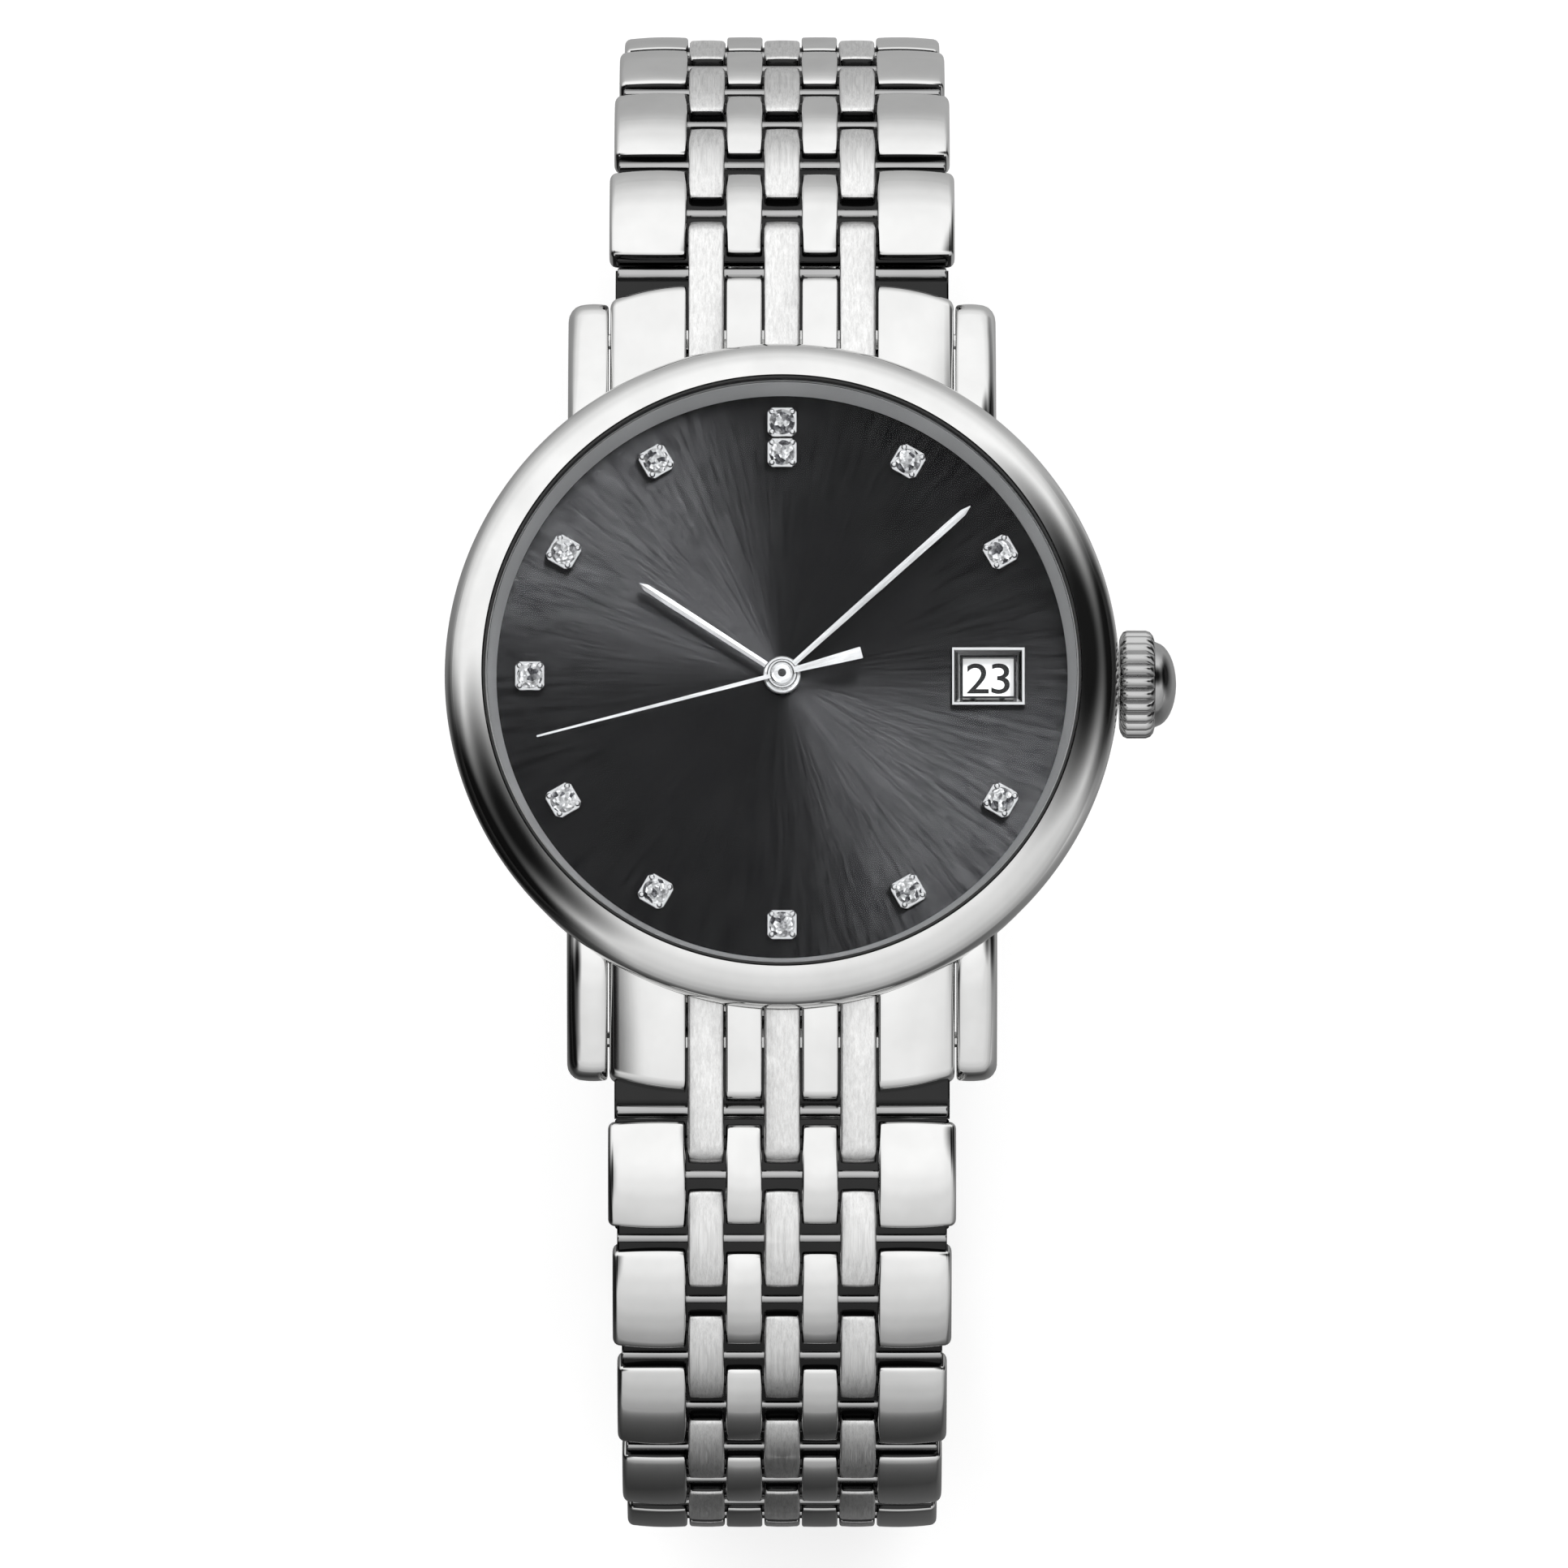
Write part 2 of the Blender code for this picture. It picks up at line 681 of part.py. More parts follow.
def bracelet_half(side):
    """The rows of one half, each with its origin on its own hinge. The half runs to +Y from the lugs, and the
    6 o'clock half is turned round by the empty that holds it."""
    half = HALVES[side]
    root = bpy.data.objects.new(f"bracelet_{side}", None)
    WATCH.objects.link(root)
    root.rotation_euler = (0.0, 0.0, math.pi if side == "6" else 0.0)
    end_link(side, root)
    slopes = slopes_of(half, far_bend_of(half))
    first_joined = half["rows"] - 2 * JOINED_PAIRS + 1
    y, z = FIRST_PIN_Y, FIRST_PIN_Z
    for row, slope in enumerate(slopes, start=1):
        turn = math.radians(slope)
        if row < first_joined or (row - first_joined) % 2 == 0:
            joined = row >= first_joined
            name = f"links_{side}_{row:02d}" + (f"_{row + 1:02d}" if joined else "")
            links, pin = row_of_links(name, row)
            links.parent = root
            links.location = Vector((0, y, z)) * MM
            links.rotation_euler = (-turn, 0.0, 0.0)
            add_to(links, pin)
            if joined:
                join_next_row(links, row + 1, slopes[row] - slope)
        y += PITCH * math.cos(turn)
        z -= PITCH * math.sin(turn)


def join_next_row(links, row, bend):
    """Fixes the row that follows to a row, with a pin that fills the hole between them."""
    following, pin = row_of_links("following", row)
    bpy.data.objects.remove(pin, do_unlink=True)
    filler = rod("filler", PIN_HOLE_R + 0.1, half_width_of(row) - 0.6, 0, 0, "steel", PIN_SIDES)
    for tool in (filler, following):
        tool.location = Vector((0, PITCH, 0)) * MM
        tool.rotation_euler = (-math.radians(bend), 0.0, 0.0)
        add_to(links, tool)


def end_link_outline(end, start_y, low, edge):
    """The end link seen from the side, from start_y to its far end. Its top falls towards the first pin, and
    edge is how far its two corners are cut back."""
    def top(y):
        return FIRST_PIN_Z + LINK_R + (FIRST_PIN_Y - y) * math.tan(math.radians(END_LINK_SLOPE))

    far = end - edge
    return [(start_y, low), (far, 0.75), (end, 0.75 + edge), (end, top(end) - edge), (far, top(far)),
            (start_y, top(start_y))]


def end_link(side, root):
    """The piece between the lugs: its outer parts stop at the lugs' tips, and three fingers reach the first
    hinge. It is hollowed to the case and bored for the spring bar."""
    pin = (FIRST_PIN_Y, FIRST_PIN_Z)
    half_width = LUG_GAP / 2 - GAP
    body = end_link_outline(END_LINK_Y, 13.0, 0.9, 0.4)
    strip = end_link_outline(STRIP_Y, 19.0, 0.8, 0.35)
    finger = [(FINGER_ROOT_Y, 0.75), *arc(pin, LINK_R, -90, 75, 5), (FINGER_ROOT_Y, body[-2][1])]
    link = plate(f"end_link_{side}", [body], -half_width, half_width, "steel", across_x=True)
    reach = [
        plate("strip", [strip], low, high, "steel", across_x=True)
        for low, high in columns(True, half_width)[1:3]
    ]
    reach += [
        plate("finger", [finger, circle(pin, PIN_HOLE_R, PIN_SIDES)], low, high, "steel", across_x=True)
        for low, high in columns(False, half_width)
    ]
    add_to(link, gathered("fingers", reach, "steel"))
    cut_from(link, disc("case_hollow", CASE_R + GAP, -1, 8, "steel", ROUND))
    cut_from(link, rod("bar_way", 0.9, half_width + 1, SPRING_BAR_Y, SPRING_BAR_Z, "steel"))
    link.parent = root


# ---- clasp ----


def clasp():
    """A folding clasp: an inner blade on the 6 o'clock half, a middle blade and a cover with two buttons."""
    y6 = -end_of(HALVES["6"], far_bend_of(HALVES["6"]))[0]
    y12 = end_of(HALVES["12"], far_bend_of(HALVES["12"]))[0]
    fold = (y12 - FOLD_FROM_12, CLASP_Z + FOLD_RISE)
    hinge = (y6 + COVER_HINGE_FROM_6, CLASP_Z + COVER_HINGE_RISE)
    inner_blade(y6, fold)
    middle_blade(fold, hinge)
    cover(y6, y12, hinge)


def at_origin(obj, y, z):
    """Moves a piece's origin to a hinge at (y, z) without moving the piece or its tools."""
    hinge = Vector((0, y, z)) * MM
    obj.data.transform(Matrix.Translation(-hinge))
    obj.location = hinge
    for modifier in obj.modifiers:
        modifier.object.location -= hinge


def inner_blade(y6, fold):
    low, high = (CLASP_Z + level for level in INNER_BLADE)
    blade = box(
        "clasp_inner_blade",
        (-BLADE_HALF_WIDTH, y6 + 1.6, low),
        (BLADE_HALF_WIDTH, fold[0] - 1.1, high),
    )
    eye = [*arc((y6, CLASP_Z), 1.0, 90, 300, 6), (y6 + 2.4, low), (y6 + 2.4, high - 0.05)]
    eyes = [
        plate("eye", [eye], low_x, high_x, "steel", across_x=True)
        for low_x, high_x in columns(True, 6.0)[1:3]
    ]
    root_y = fold[0] - 1.6
    knuckle = [(root_y, low), *arc(fold, KNUCKLE_R, -110, 90, 6), (root_y, high)]
    half = KNUCKLE_HALF_WIDTH
    eyes.append(plate("knuckle", [knuckle], -half, half, "steel", across_x=True))
    add_to(blade, gathered("eyes", eyes, "steel"))
    add_to(blade, rod("end_pin", PIN_R, 4.7, y6, CLASP_Z, "steel", PIN_SIDES))
    add_to(blade, rod("fold_pin", FOLD_PIN_R, BLADE_HALF_WIDTH - 0.3, *fold, "steel"))
    at_origin(blade, y6, CLASP_Z)


def middle_blade(fold, hinge):
    low, high = (CLASP_Z + level for level in MIDDLE_BLADE)
    blade = box(
        "clasp_middle_blade",
        (-BLADE_HALF_WIDTH, hinge[0] + 0.2, low),
        (BLADE_HALF_WIDTH, fold[0] - 1.1, high),
    )
    root_y = fold[0] - 1.6
    outline = [(root_y, high), (root_y, low), *arc(fold, KNUCKLE_R, -90, 110, 6)]
    bore = circle(fold, FOLD_PIN_R + 0.15, ROUND_PIN)
    inner, outer = KNUCKLE_HALF_WIDTH + GAP, BLADE_HALF_WIDTH
    pieces = [
        plate("arm", [outline, bore], low_x, high_x, "steel", across_x=True)
        for low_x, high_x in ((inner, outer), (-outer, -inner))
    ]
    pieces.append(rod("hinge_barrel", HINGE_PIN_R + 0.2, outer, *hinge, "steel"))
    add_to(blade, gathered("arms", pieces, "steel"))
    add_to(blade, rod("hinge_pin", HINGE_PIN_R, COVER_HALF_WIDTH - 0.2, *hinge, "steel"))
    at_origin(blade, *fold)


def cover(y6, y12, hinge):
    """The folding cover: a trough with three fingers on the 12 o'clock half's pin and a button in each wall."""
    floor_low, floor_high = (CLASP_Z + level for level in COVER_FLOOR)
    start, end = y6 + 1.4, y12 - 1.5
    outer = COVER_HALF_WIDTH
    shell = box("clasp_cover", (-outer, start, floor_low), (outer, end, floor_high))
    wall_low, wall_high = floor_low + GAP, CLASP_Z + COVER_WALL_TOP
    walls = [
        box("wall", (low, start, wall_low), (low + COVER_WALL, end, wall_high))
        for low in (-outer, outer - COVER_WALL)
    ]
    pin = (y12, CLASP_Z)
    finger = [(y12 - 2.6, wall_low), (y12 - 0.6, wall_low + 0.45), *arc(pin, 1.0, -90, 90, 5),
              (y12 - 2.6, CLASP_Z + 0.4)]
    fingers = [
        plate("finger", [finger, circle(pin, PIN_HOLE_R, PIN_SIDES)], low, high, "steel", across_x=True)
        for low, high in columns(False, outer)
    ]
    add_to(shell, gathered("walls", walls, "steel"))
    add_to(shell, gathered("fingers", fingers, "steel"))
    cut_from(shell, rod("hinge_bore", HINGE_PIN_R + 0.2, outer + 1, *hinge, "steel"))
    for name, side in (("clasp_button_right", 1), ("clasp_button_left", -1)):
        cut_from(shell, button(name, side, (start + end) / 2))
    at_origin(shell, *hinge)


def button(name, side, middle):
    """A push button through the cover's wall on one side. It returns the cutter of the way it slides in."""
    length, height = BUTTON
    middle_z = CLASP_Z - 0.15
    ends = sorted((side * (COVER_HALF_WIDTH - COVER_WALL - 0.5), side * (COVER_HALF_WIDTH + 0.7)))

    def block(label, longer, wider):
        low = (ends[0] - longer, middle - length / 2 - wider, middle_z - height / 2 - wider)
        high = (ends[1] + longer, middle + length / 2 + wider, middle_z + height / 2 + wider)
        return box(label, low, high)

    block(name, 0.0, 0.0)
    return block("button_way", 1.0, BUTTON_ROOM)


empty_scene()
WATCH = new_collection("wristwatch")
CUTTERS = new_collection("cutters", hidden=True)
FINISHES = {
    "steel": finish_material("polished_steel", (0.62, 0.62, 0.61), 1.0, 0.12),
    "polished_hand": finish_material("polished_hand", (0.78, 0.78, 0.78), 1.0, 0.15),
    "dial_lacquer": finish_material("dial_lacquer", (0.035, 0.036, 0.038), 0.6, 0.3),
    "sapphire": finish_material("sapphire", (1.0, 1.0, 1.0), 0.0, 0.02, transmission=1.0),
    "nylon": finish_material("nylon", (0.8, 0.8, 0.78), 0.0, 0.5),
    "rubber": finish_material("rubber", (0.02, 0.02, 0.02), 0.0, 0.7),
    "enamel": finish_material("enamel", (0.85, 0.85, 0.84), 0.0, 0.4),
    "rhodium": finish_material("rhodium", (0.5, 0.5, 0.49), 1.0, 0.35),
    "brass": finish_material("brass", (0.6, 0.45, 0.2), 1.0, 0.3),
}

mid_case()
bezel()
crystal()
case_back()
spring_bars()
dial()
rehaut()
date_frame()
date_disc()
hands()
movement()
crown()
for half_name in HALVES:
    bracelet_half(half_name)
clasp()
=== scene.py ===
"""The looks of a round automatic dress watch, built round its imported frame.

Lengths are written in millimetres, and MM turns them into metres. As in the frame, +Z points out of the
dial, +Y to 12 o'clock and +X to the crown."""

import json
import math

import bmesh
import bpy
from mathutils import Matrix, Vector


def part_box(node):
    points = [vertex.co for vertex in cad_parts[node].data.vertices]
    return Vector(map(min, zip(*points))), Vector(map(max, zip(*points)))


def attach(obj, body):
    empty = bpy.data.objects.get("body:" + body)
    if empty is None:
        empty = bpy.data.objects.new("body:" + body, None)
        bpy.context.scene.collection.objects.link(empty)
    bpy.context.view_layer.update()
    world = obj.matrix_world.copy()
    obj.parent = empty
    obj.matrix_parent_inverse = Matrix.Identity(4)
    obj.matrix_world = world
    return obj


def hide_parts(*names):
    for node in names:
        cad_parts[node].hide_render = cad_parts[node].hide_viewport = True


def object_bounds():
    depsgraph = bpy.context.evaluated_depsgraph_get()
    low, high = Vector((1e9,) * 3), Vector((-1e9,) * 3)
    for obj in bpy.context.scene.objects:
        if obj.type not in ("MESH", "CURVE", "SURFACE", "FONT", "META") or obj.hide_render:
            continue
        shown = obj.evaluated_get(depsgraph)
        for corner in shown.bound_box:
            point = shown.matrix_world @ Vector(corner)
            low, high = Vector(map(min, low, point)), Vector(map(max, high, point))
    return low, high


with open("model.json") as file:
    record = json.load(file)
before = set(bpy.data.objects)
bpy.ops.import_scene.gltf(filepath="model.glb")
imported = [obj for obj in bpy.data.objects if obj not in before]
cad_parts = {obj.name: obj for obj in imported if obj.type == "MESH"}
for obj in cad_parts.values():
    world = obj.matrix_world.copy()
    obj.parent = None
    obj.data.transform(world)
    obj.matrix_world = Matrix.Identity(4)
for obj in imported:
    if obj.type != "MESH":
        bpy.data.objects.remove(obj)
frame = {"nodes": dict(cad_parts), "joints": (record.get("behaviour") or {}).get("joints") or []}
CAD_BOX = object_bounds()

MM = 0.001
SMOOTH = 144  # steps round a large turned piece
SMALL = 32  # steps round a small one

# Case, as in the frame's solids
BAND_R = 16.9
BAND_BORE = 14.3
LUG_SIDES = (8.93, 11.0)  # the inner and outer faces of the lugs on the right
BEZEL_BORE = 15.3

# Bracelet: its spacing and widths are those of the frame's solids
PITCH = 3.23
COLUMN = 1.95
COLUMN_GAP = 0.1
HALF_LINK = (COLUMN - COLUMN_GAP) / 2
BROAD_FROM = 2.5 * COLUMN + COLUMN_GAP / 2  # where the broad outer links start
WIDTH_AT_LUGS = 17.8
TAPER_PER_ROW = 0.22
TAPER_ROWS = 9
LINK_END = 0.94  # how far a link reaches past its pins
LONGER = 0.2  # how much farther the outer links reach
LINK_TOP = 1.15
LINK_BOTTOM = 1.1
PIN_R = 0.5
END_LINK_Y = 20.95
STRIP_Y = 21.4
# The third finish is painted shade: near-black steel on link walls, ends, cores and pins, where the gaps
# between links are dark.
STEEL, BRUSHED, PAINTED_SHADE, BAR = range(4)  # places of the finishes in a bracelet piece's material slots


def box_mm(node):
    low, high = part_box(node)
    return low / MM, high / MM


def hinge_place(body):
    joint = next(joint for joint in frame["joints"] if joint["child"] == body)
    return Vector(joint["pos_m"]) / MM


# ---- outlines ----


def eased(points, radius=0.1, steps=4):
    """An outline whose corners are each a short curve. A third value is that corner's own radius."""
    result = []
    for i, point in enumerate(points):
        here = Vector(point[:2])
        before = Vector(points[i - 1][:2]) - here
        after = Vector(points[(i + 1) % len(points)][:2]) - here
        reach = point[2] if len(point) > 2 else radius
        reach = min(reach, 0.48 * before.length, 0.48 * after.length)
        start = here + before.normalized() * reach
        end = here + after.normalized() * reach
        for k in range(steps + 1 if reach else 1):
            t = k / steps
            result.append(start * (1 - t) ** 2 + here * (2 * t * (1 - t)) + end * t * t)
    return result


def arc(centre, radius, start, end, steps):
    """Points along an arc, its angles in degrees counted from the first axis to the second."""
    angles = [math.radians(start + (end - start) * i / steps) for i in range(steps + 1)]
    return [Vector((centre[0] + radius * math.cos(a), centre[1] + radius * math.sin(a))) for a in angles]


def polar(radius, degrees, z=0.0):
    angle = math.radians(degrees)
    return Vector((radius * math.cos(angle), radius * math.sin(angle), z))


def rectangle(half_x, half_y):
    corners = ((-half_x, -half_y), (half_x, -half_y), (half_x, half_y), (-half_x, half_y))
    return [Vector(corner) for corner in corners]


# ---- meshes ----


def loft(bm, sections, closed=False, material=0):
    """A skin over rings of points. An open one is capped at both ends; a closed one meets its start."""
    rings = [[bm.verts.new(point) for point in section] for section in sections]
    pairs = list(zip(rings, rings[1:]))
    if closed:
        pairs.append((rings[-1], rings[0]))
    faces = []
    for ring, following in pairs:
        for i in range(len(ring)):
            faces.append(bm.faces.new((ring[i - 1], ring[i], following[i], following[i - 1])))
    if not closed:
        faces.append(bm.faces.new(rings[0]))
        faces.append(bm.faces.new(rings[-1]))
    for face in faces:
        face.material_index = material
    return [vert for ring in rings for vert in ring]


def turned(bm, profile, steps=SMOOTH, material=0):
    """A closed profile of (radius, height) turned about Z. One that touches the axis makes a solid piece."""
    sections = [
        [polar(radius, 360 * k / steps, height) for radius, height in profile] for k in range(steps)
    ]
    verts = loft(bm, sections, closed=True, material=material)
    bmesh.ops.remove_doubles(bm, verts=verts, dist=0.0005)
    return [vert for vert in verts if vert.is_valid]


def slab(bm, outline, low, high, bevel=0.05, material=0):
    """A flat outline given thickness, its upper and lower edges eased."""
    def at(height, inset):
        middle = sum(outline, Vector((0, 0))) / len(outline)
        points = []
        for i, point in enumerate(outline):
            along = outline[(i + 1) % len(outline)] - outline[i - 1]
            side = Vector((-along.y, along.x)).normalized()
            if side.dot(middle - point) < 0:
                side = -side
            points.append((*(point + side * inset), height))
        return points

    share = bevel * 0.3
    levels = [(low, bevel), (low + share, share), (low + bevel, 0)]
    levels += [(high - bevel, 0), (high - share, share), (high, bevel)]
    return loft(bm, [at(height, inset) for height, inset in levels], material=material)


def across(
    bm, outline_at, low_x, high_x, ease, crown=0.0, material=0, middle_steps=2, crest=0.5, walls=None
):
    """A piece lofted along X. outline_at(x, inset) gives its outline in Y and Z; inset eases its two sides,
    by the two radii in ease, and crown lowers it gently on both sides of its crest. walls gives its two flat
    sides their own materials."""
    turns = [math.radians(t) for t in (0, 22, 45, 67, 90)]
    inner_low, inner_high = low_x + ease[0], high_x - ease[1]
    stations = [(inner_low - ease[0] * math.cos(t), ease[0] * (1 - math.sin(t))) for t in turns]
    for k in range(1, middle_steps + 1):
        stations.append((inner_low + (inner_high - inner_low) * k / (middle_steps + 1), 0.0))
    stations += [(inner_high + ease[1] * math.cos(t), ease[1] * (1 - math.sin(t))) for t in reversed(turns)]
    top_x = low_x + crest * (high_x - low_x)
    span = max(top_x - low_x, high_x - top_x)
    sections = []
    for x, inset in stations:
        lowered = inset + crown * ((x - top_x) / span) ** 2
        sections.append([(x, y, z) for y, z in outline_at(x, lowered)])
    verts = loft(bm, sections, material=material)
    if walls:
        count = len(sections[0])
        for ring, finish in ((verts[:count], walls[0]), (verts[-count:], walls[1])):
            for face in {face for vert in ring for face in vert.link_faces}:
                face.material_index = finish
    return verts


def across_both(bm, outline_at, inner_x, outer_x, ease, crown, middle_steps, crest, walls=None):
    """Two pieces lofted along X, one the other's mirror image. ease, crest and walls are given for the right
    one, whose inner side comes first."""
    right = across(bm, outline_at, inner_x, outer_x, ease, crown, STEEL, middle_steps, crest, walls)
    left = across(bm, outline_at, -outer_x, -inner_x, ease[::-1], crown, STEEL, middle_steps, 1 - crest,
                  walls and walls[::-1])
    return right + left


def move(verts, matrix):
    for vert in verts:
        vert.co = matrix @ vert.co


# ---- objects ----


def linked(name, data):
    """An object with this data, in the scene."""
    obj = bpy.data.objects.new(name, data)
    bpy.context.scene.collection.objects.link(obj)
    return obj


def mesh_of(name, bm):
    """The bmesh made into a mesh, which frees it."""
    mesh = bpy.data.meshes.new(name)
    bm.to_mesh(mesh)
    bm.free()
    return mesh


def piece(name, bm, materials, body, replaced=(), sharp=40.0, matrix=None):
    """Makes the bmesh, which is in millimetres, into a piece that rides on a body."""
    bmesh.ops.recalc_face_normals(bm, faces=bm.faces)
    bmesh.ops.scale(bm, vec=Vector((MM, MM, MM)), verts=bm.verts)
    mesh = mesh_of(name, bm)
    for material in materials:
        mesh.materials.append(material)
    mesh.shade_smooth()
    mesh.set_sharp_from_angle(angle=math.radians(sharp))
    obj = linked(name, mesh)
    if matrix:
        obj.matrix_world = matrix
    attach(obj, body)
    if replaced:
        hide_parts(*replaced)


def turned_piece(name, node, profile, material, steps=SMOOTH, sharp=40.0):
    """A turned piece of the case that stands for one node."""
    bm = bmesh.new()
    turned(bm, profile, steps)
    piece(name, bm, [material], "case", (node,), sharp)


def with_boolean(bm, tool_bm, operation):
    """The bmesh with another cut from it or joined to it."""
    objects = []
    for name, each in (("target", bm), ("tool", tool_bm)):
        bmesh.ops.recalc_face_normals(each, faces=each.faces)
        objects.append(linked(name, mesh_of(name, each)))
    target, tool = objects
    modifier = target.modifiers.new("Cut", "BOOLEAN")
    modifier.operation = operation
    modifier.object = tool
    result = bmesh.new()
    result.from_object(target, bpy.context.evaluated_depsgraph_get())
    for obj in objects:
        mesh = obj.data
        bpy.data.objects.remove(obj, do_unlink=True)
        bpy.data.meshes.remove(mesh)
    return result


def softened(node, material, width):
    """A copy of a solid with flat faces whose edges are bevelled, to stand for it."""
    bm = bmesh.new()
    bm.from_mesh(frame["nodes"][node].data)
    bmesh.ops.scale(bm, vec=Vector((1, 1, 1)) / MM, verts=bm.verts)
    bmesh.ops.remove_doubles(bm, verts=bm.verts, dist=0.001)
    bmesh.ops.dissolve_limit(bm, angle_limit=math.radians(1), verts=bm.verts, edges=bm.edges)
    edges = [edge for edge in bm.edges if edge.is_manifold and edge.calc_face_angle(0) > math.radians(25)]
    bmesh.ops.bevel(
        bm, geom=edges, offset=width, offset_type="WIDTH", segments=2, profile=0.6, affect="EDGES",
        clamp_overlap=True,
    )
    piece(f"{node}_body", bm, [material], node, (node,), sharp=30)


# ---- materials ----


class Tree:
    """The nodes of a new material or world. An input's value may be another node's output."""

    def __init__(self, name, world=False):
        self.owner = (bpy.data.worlds if world else bpy.data.materials).new(name)
        self.owner.use_nodes = True
        self.nodes = self.owner.node_tree.nodes
        self.links = self.owner.node_tree.links
        self.shader = self.nodes["Background" if world else "Principled BSDF"]

    def add(self, kind, inputs=(), **settings):
        node = self.nodes.new("ShaderNode" + kind)
        for key, value in settings.items():
            setattr(node, key, value)
        self.fill(node, dict(inputs))
        return node

    def fill(self, node, inputs):
        for key, value in inputs.items():
            if isinstance(value, bpy.types.NodeSocket):
                self.links.new(value, node.inputs[key])
            else:
                node.inputs[key].default_value = value

    def set(self, **inputs):
        self.fill(self.shader, {key.replace("_", " "): value for key, value in inputs.items()})

    def surface(self, output):
        """Shows this output instead of the shader alone."""
        target = next(node for node in self.nodes if node.type == "OUTPUT_MATERIAL")
        self.links.new(output, target.inputs["Surface"])

    def math(self, operation, *values):
        return self.add("Math", dict(enumerate(values)), operation=operation).outputs[0]

    def vector(self, operation, *values):
        result = "Value" if operation in ("LENGTH", "DOT_PRODUCT") else "Vector"
        return self.add("VectorMath", dict(enumerate(values)), operation=operation).outputs[result]

    def place(self, scale=(1, 1, 1)):
        """Object coordinates in millimetres, stretched by scale."""
        factors = tuple(value / MM for value in scale)
        return self.vector("MULTIPLY", self.add("TexCoord").outputs["Object"], factors)

    def noise(self, place, scale, detail=3.0, roughness=0.55):
        inputs = {"Vector": place, "Scale": scale, "Detail": detail, "Roughness": roughness}
        return self.add("TexNoise", inputs).outputs["Fac"]

    def spread(self, value, low, high, from_low=0.3, from_high=0.7, **settings):
        """A value's usual range stretched to another."""
        inputs = {"Value": value, "From Min": from_low, "From Max": from_high, "To Min": low, "To Max": high}
        return self.add("MapRange", inputs, **settings).outputs["Result"]

    def tint(self, value, dark, light):
        """A colour between two others, each given as three values or as another node's output."""
        ends = [end if isinstance(end, bpy.types.NodeSocket) else (*end, 1) for end in (dark, light)]
        return self.add("Mix", {0: value, 6: ends[0], 7: ends[1]}, data_type="RGBA").outputs[2]

    def bump(self, height, strength, depth):
        """depth is in millimetres."""
        inputs = {"Height": height, "Strength": strength, "Distance": depth * MM}
        self.set(Normal=self.add("Bump", inputs).outputs["Normal"])


def times(colour, factor):
    return [min(1.0, value * factor) for value in colour]


def polished(name, colour, roughness=0.06):
    """Mirror-polished metal with the faint wipe marks, hairlines and edge wear of a worn one."""
    tree = Tree(name)
    cloud = tree.noise(tree.place(), 0.35)
    hair = tree.noise(tree.place((9, 0.5, 3)), 1.0, 4.0)
    edges = tree.add("NewGeometry").outputs["Pointiness"]
    wear = tree.spread(edges, 0.0, 0.05, 0.52, 0.6)
    gloss = tree.spread(hair, roughness * 0.75, roughness * 1.35)
    tree.set(
        Base_Color=tree.tint(tree.spread(cloud, 0, 1), times(colour, 0.95), times(colour, 1.04)),
        Metallic=1.0, Roughness=tree.math("ADD", gloss, wear),
    )
    tree.bump(hair, 0.06, 0.004)
    return tree.owner


def brushed(name, colour, roughness=0.3, stretch=(26, 0.45, 26)):
    """Metal drawn along Y: long fine lines in its colour, its gloss and its surface."""
    tree = Tree(name)
    lines = tree.noise(tree.place(stretch), 1.0, 5.0, 0.65)
    broad = tree.noise(tree.place([value * 0.3 for value in stretch]), 1.0, 3.0)
    both = tree.spread(tree.math("ADD", lines, broad), 0, 1, 0.75, 1.25)
    tree.set(
        Base_Color=tree.tint(both, times(colour, 0.8), times(colour, 1.12)),
        Metallic=1.0,
        Roughness=tree.spread(lines, roughness * 0.8, roughness * 1.25),
        Anisotropic=0.55,
    )
    tree.bump(lines, 0.35, 0.012)
    return tree.owner


def sunray_dial():
    """Black lacquer over fine lines that run out from the centre."""
    per_radian, per_mm = 34.0, 0.3  # how fast the pattern changes round the dial and along its radius
    tree = Tree("sunray_dial")
    place = tree.place()
    parts = tree.add("SeparateXYZ", {0: place}).outputs
    round_dial = tree.math("MULTIPLY", tree.math("ARCTAN2", parts["Y"], parts["X"]), per_radian)
    outwards = tree.math("MULTIPLY", tree.vector("LENGTH", place), per_mm)
    ray = tree.add("CombineXYZ", {0: round_dial, 1: outwards}).outputs[0]
    fine = tree.noise(ray, 5.0, 6.0, 0.7)
    broad = tree.noise(ray, 1.2, 3.0)
    both = tree.spread(tree.math("ADD", fine, broad), 0, 1, 0.75, 1.25)
    tree.set(
        Base_Color=tree.tint(both, (0.005, 0.005, 0.0053), (0.02, 0.02, 0.0205)),
        Metallic=1.0,
        Roughness=tree.spread(fine, 0.32, 0.42),
        Anisotropic=0.85,
        Tangent=tree.add("Tangent", direction_type="RADIAL", axis="Z").outputs[0],
    )
    tree.bump(fine, 0.1, 0.006)
    return tree.owner


def enamel(
    name, colour, roughness=0.4, painted_light=0.0, fineness=14.0, shade=0.94, uneven=0.15, bump=(0.08, 0.01)
):
    """Paint, plastic or rubber with a grain. A part may be given a little light of its own: painted light
    that brightens it where it lies in shade.
    """
    tree = Tree(name)
    grain = tree.noise(tree.place(), fineness)
    tree.set(
        Base_Color=tree.tint(tree.spread(grain, 0, 1), times(colour, shade), colour),
        Roughness=tree.spread(grain, roughness * (1 - uneven), roughness * (1 + uneven)),
        Emission_Color=(*colour, 1.0), Emission_Strength=painted_light,
    )
    tree.bump(grain, *bump)
    return tree.owner


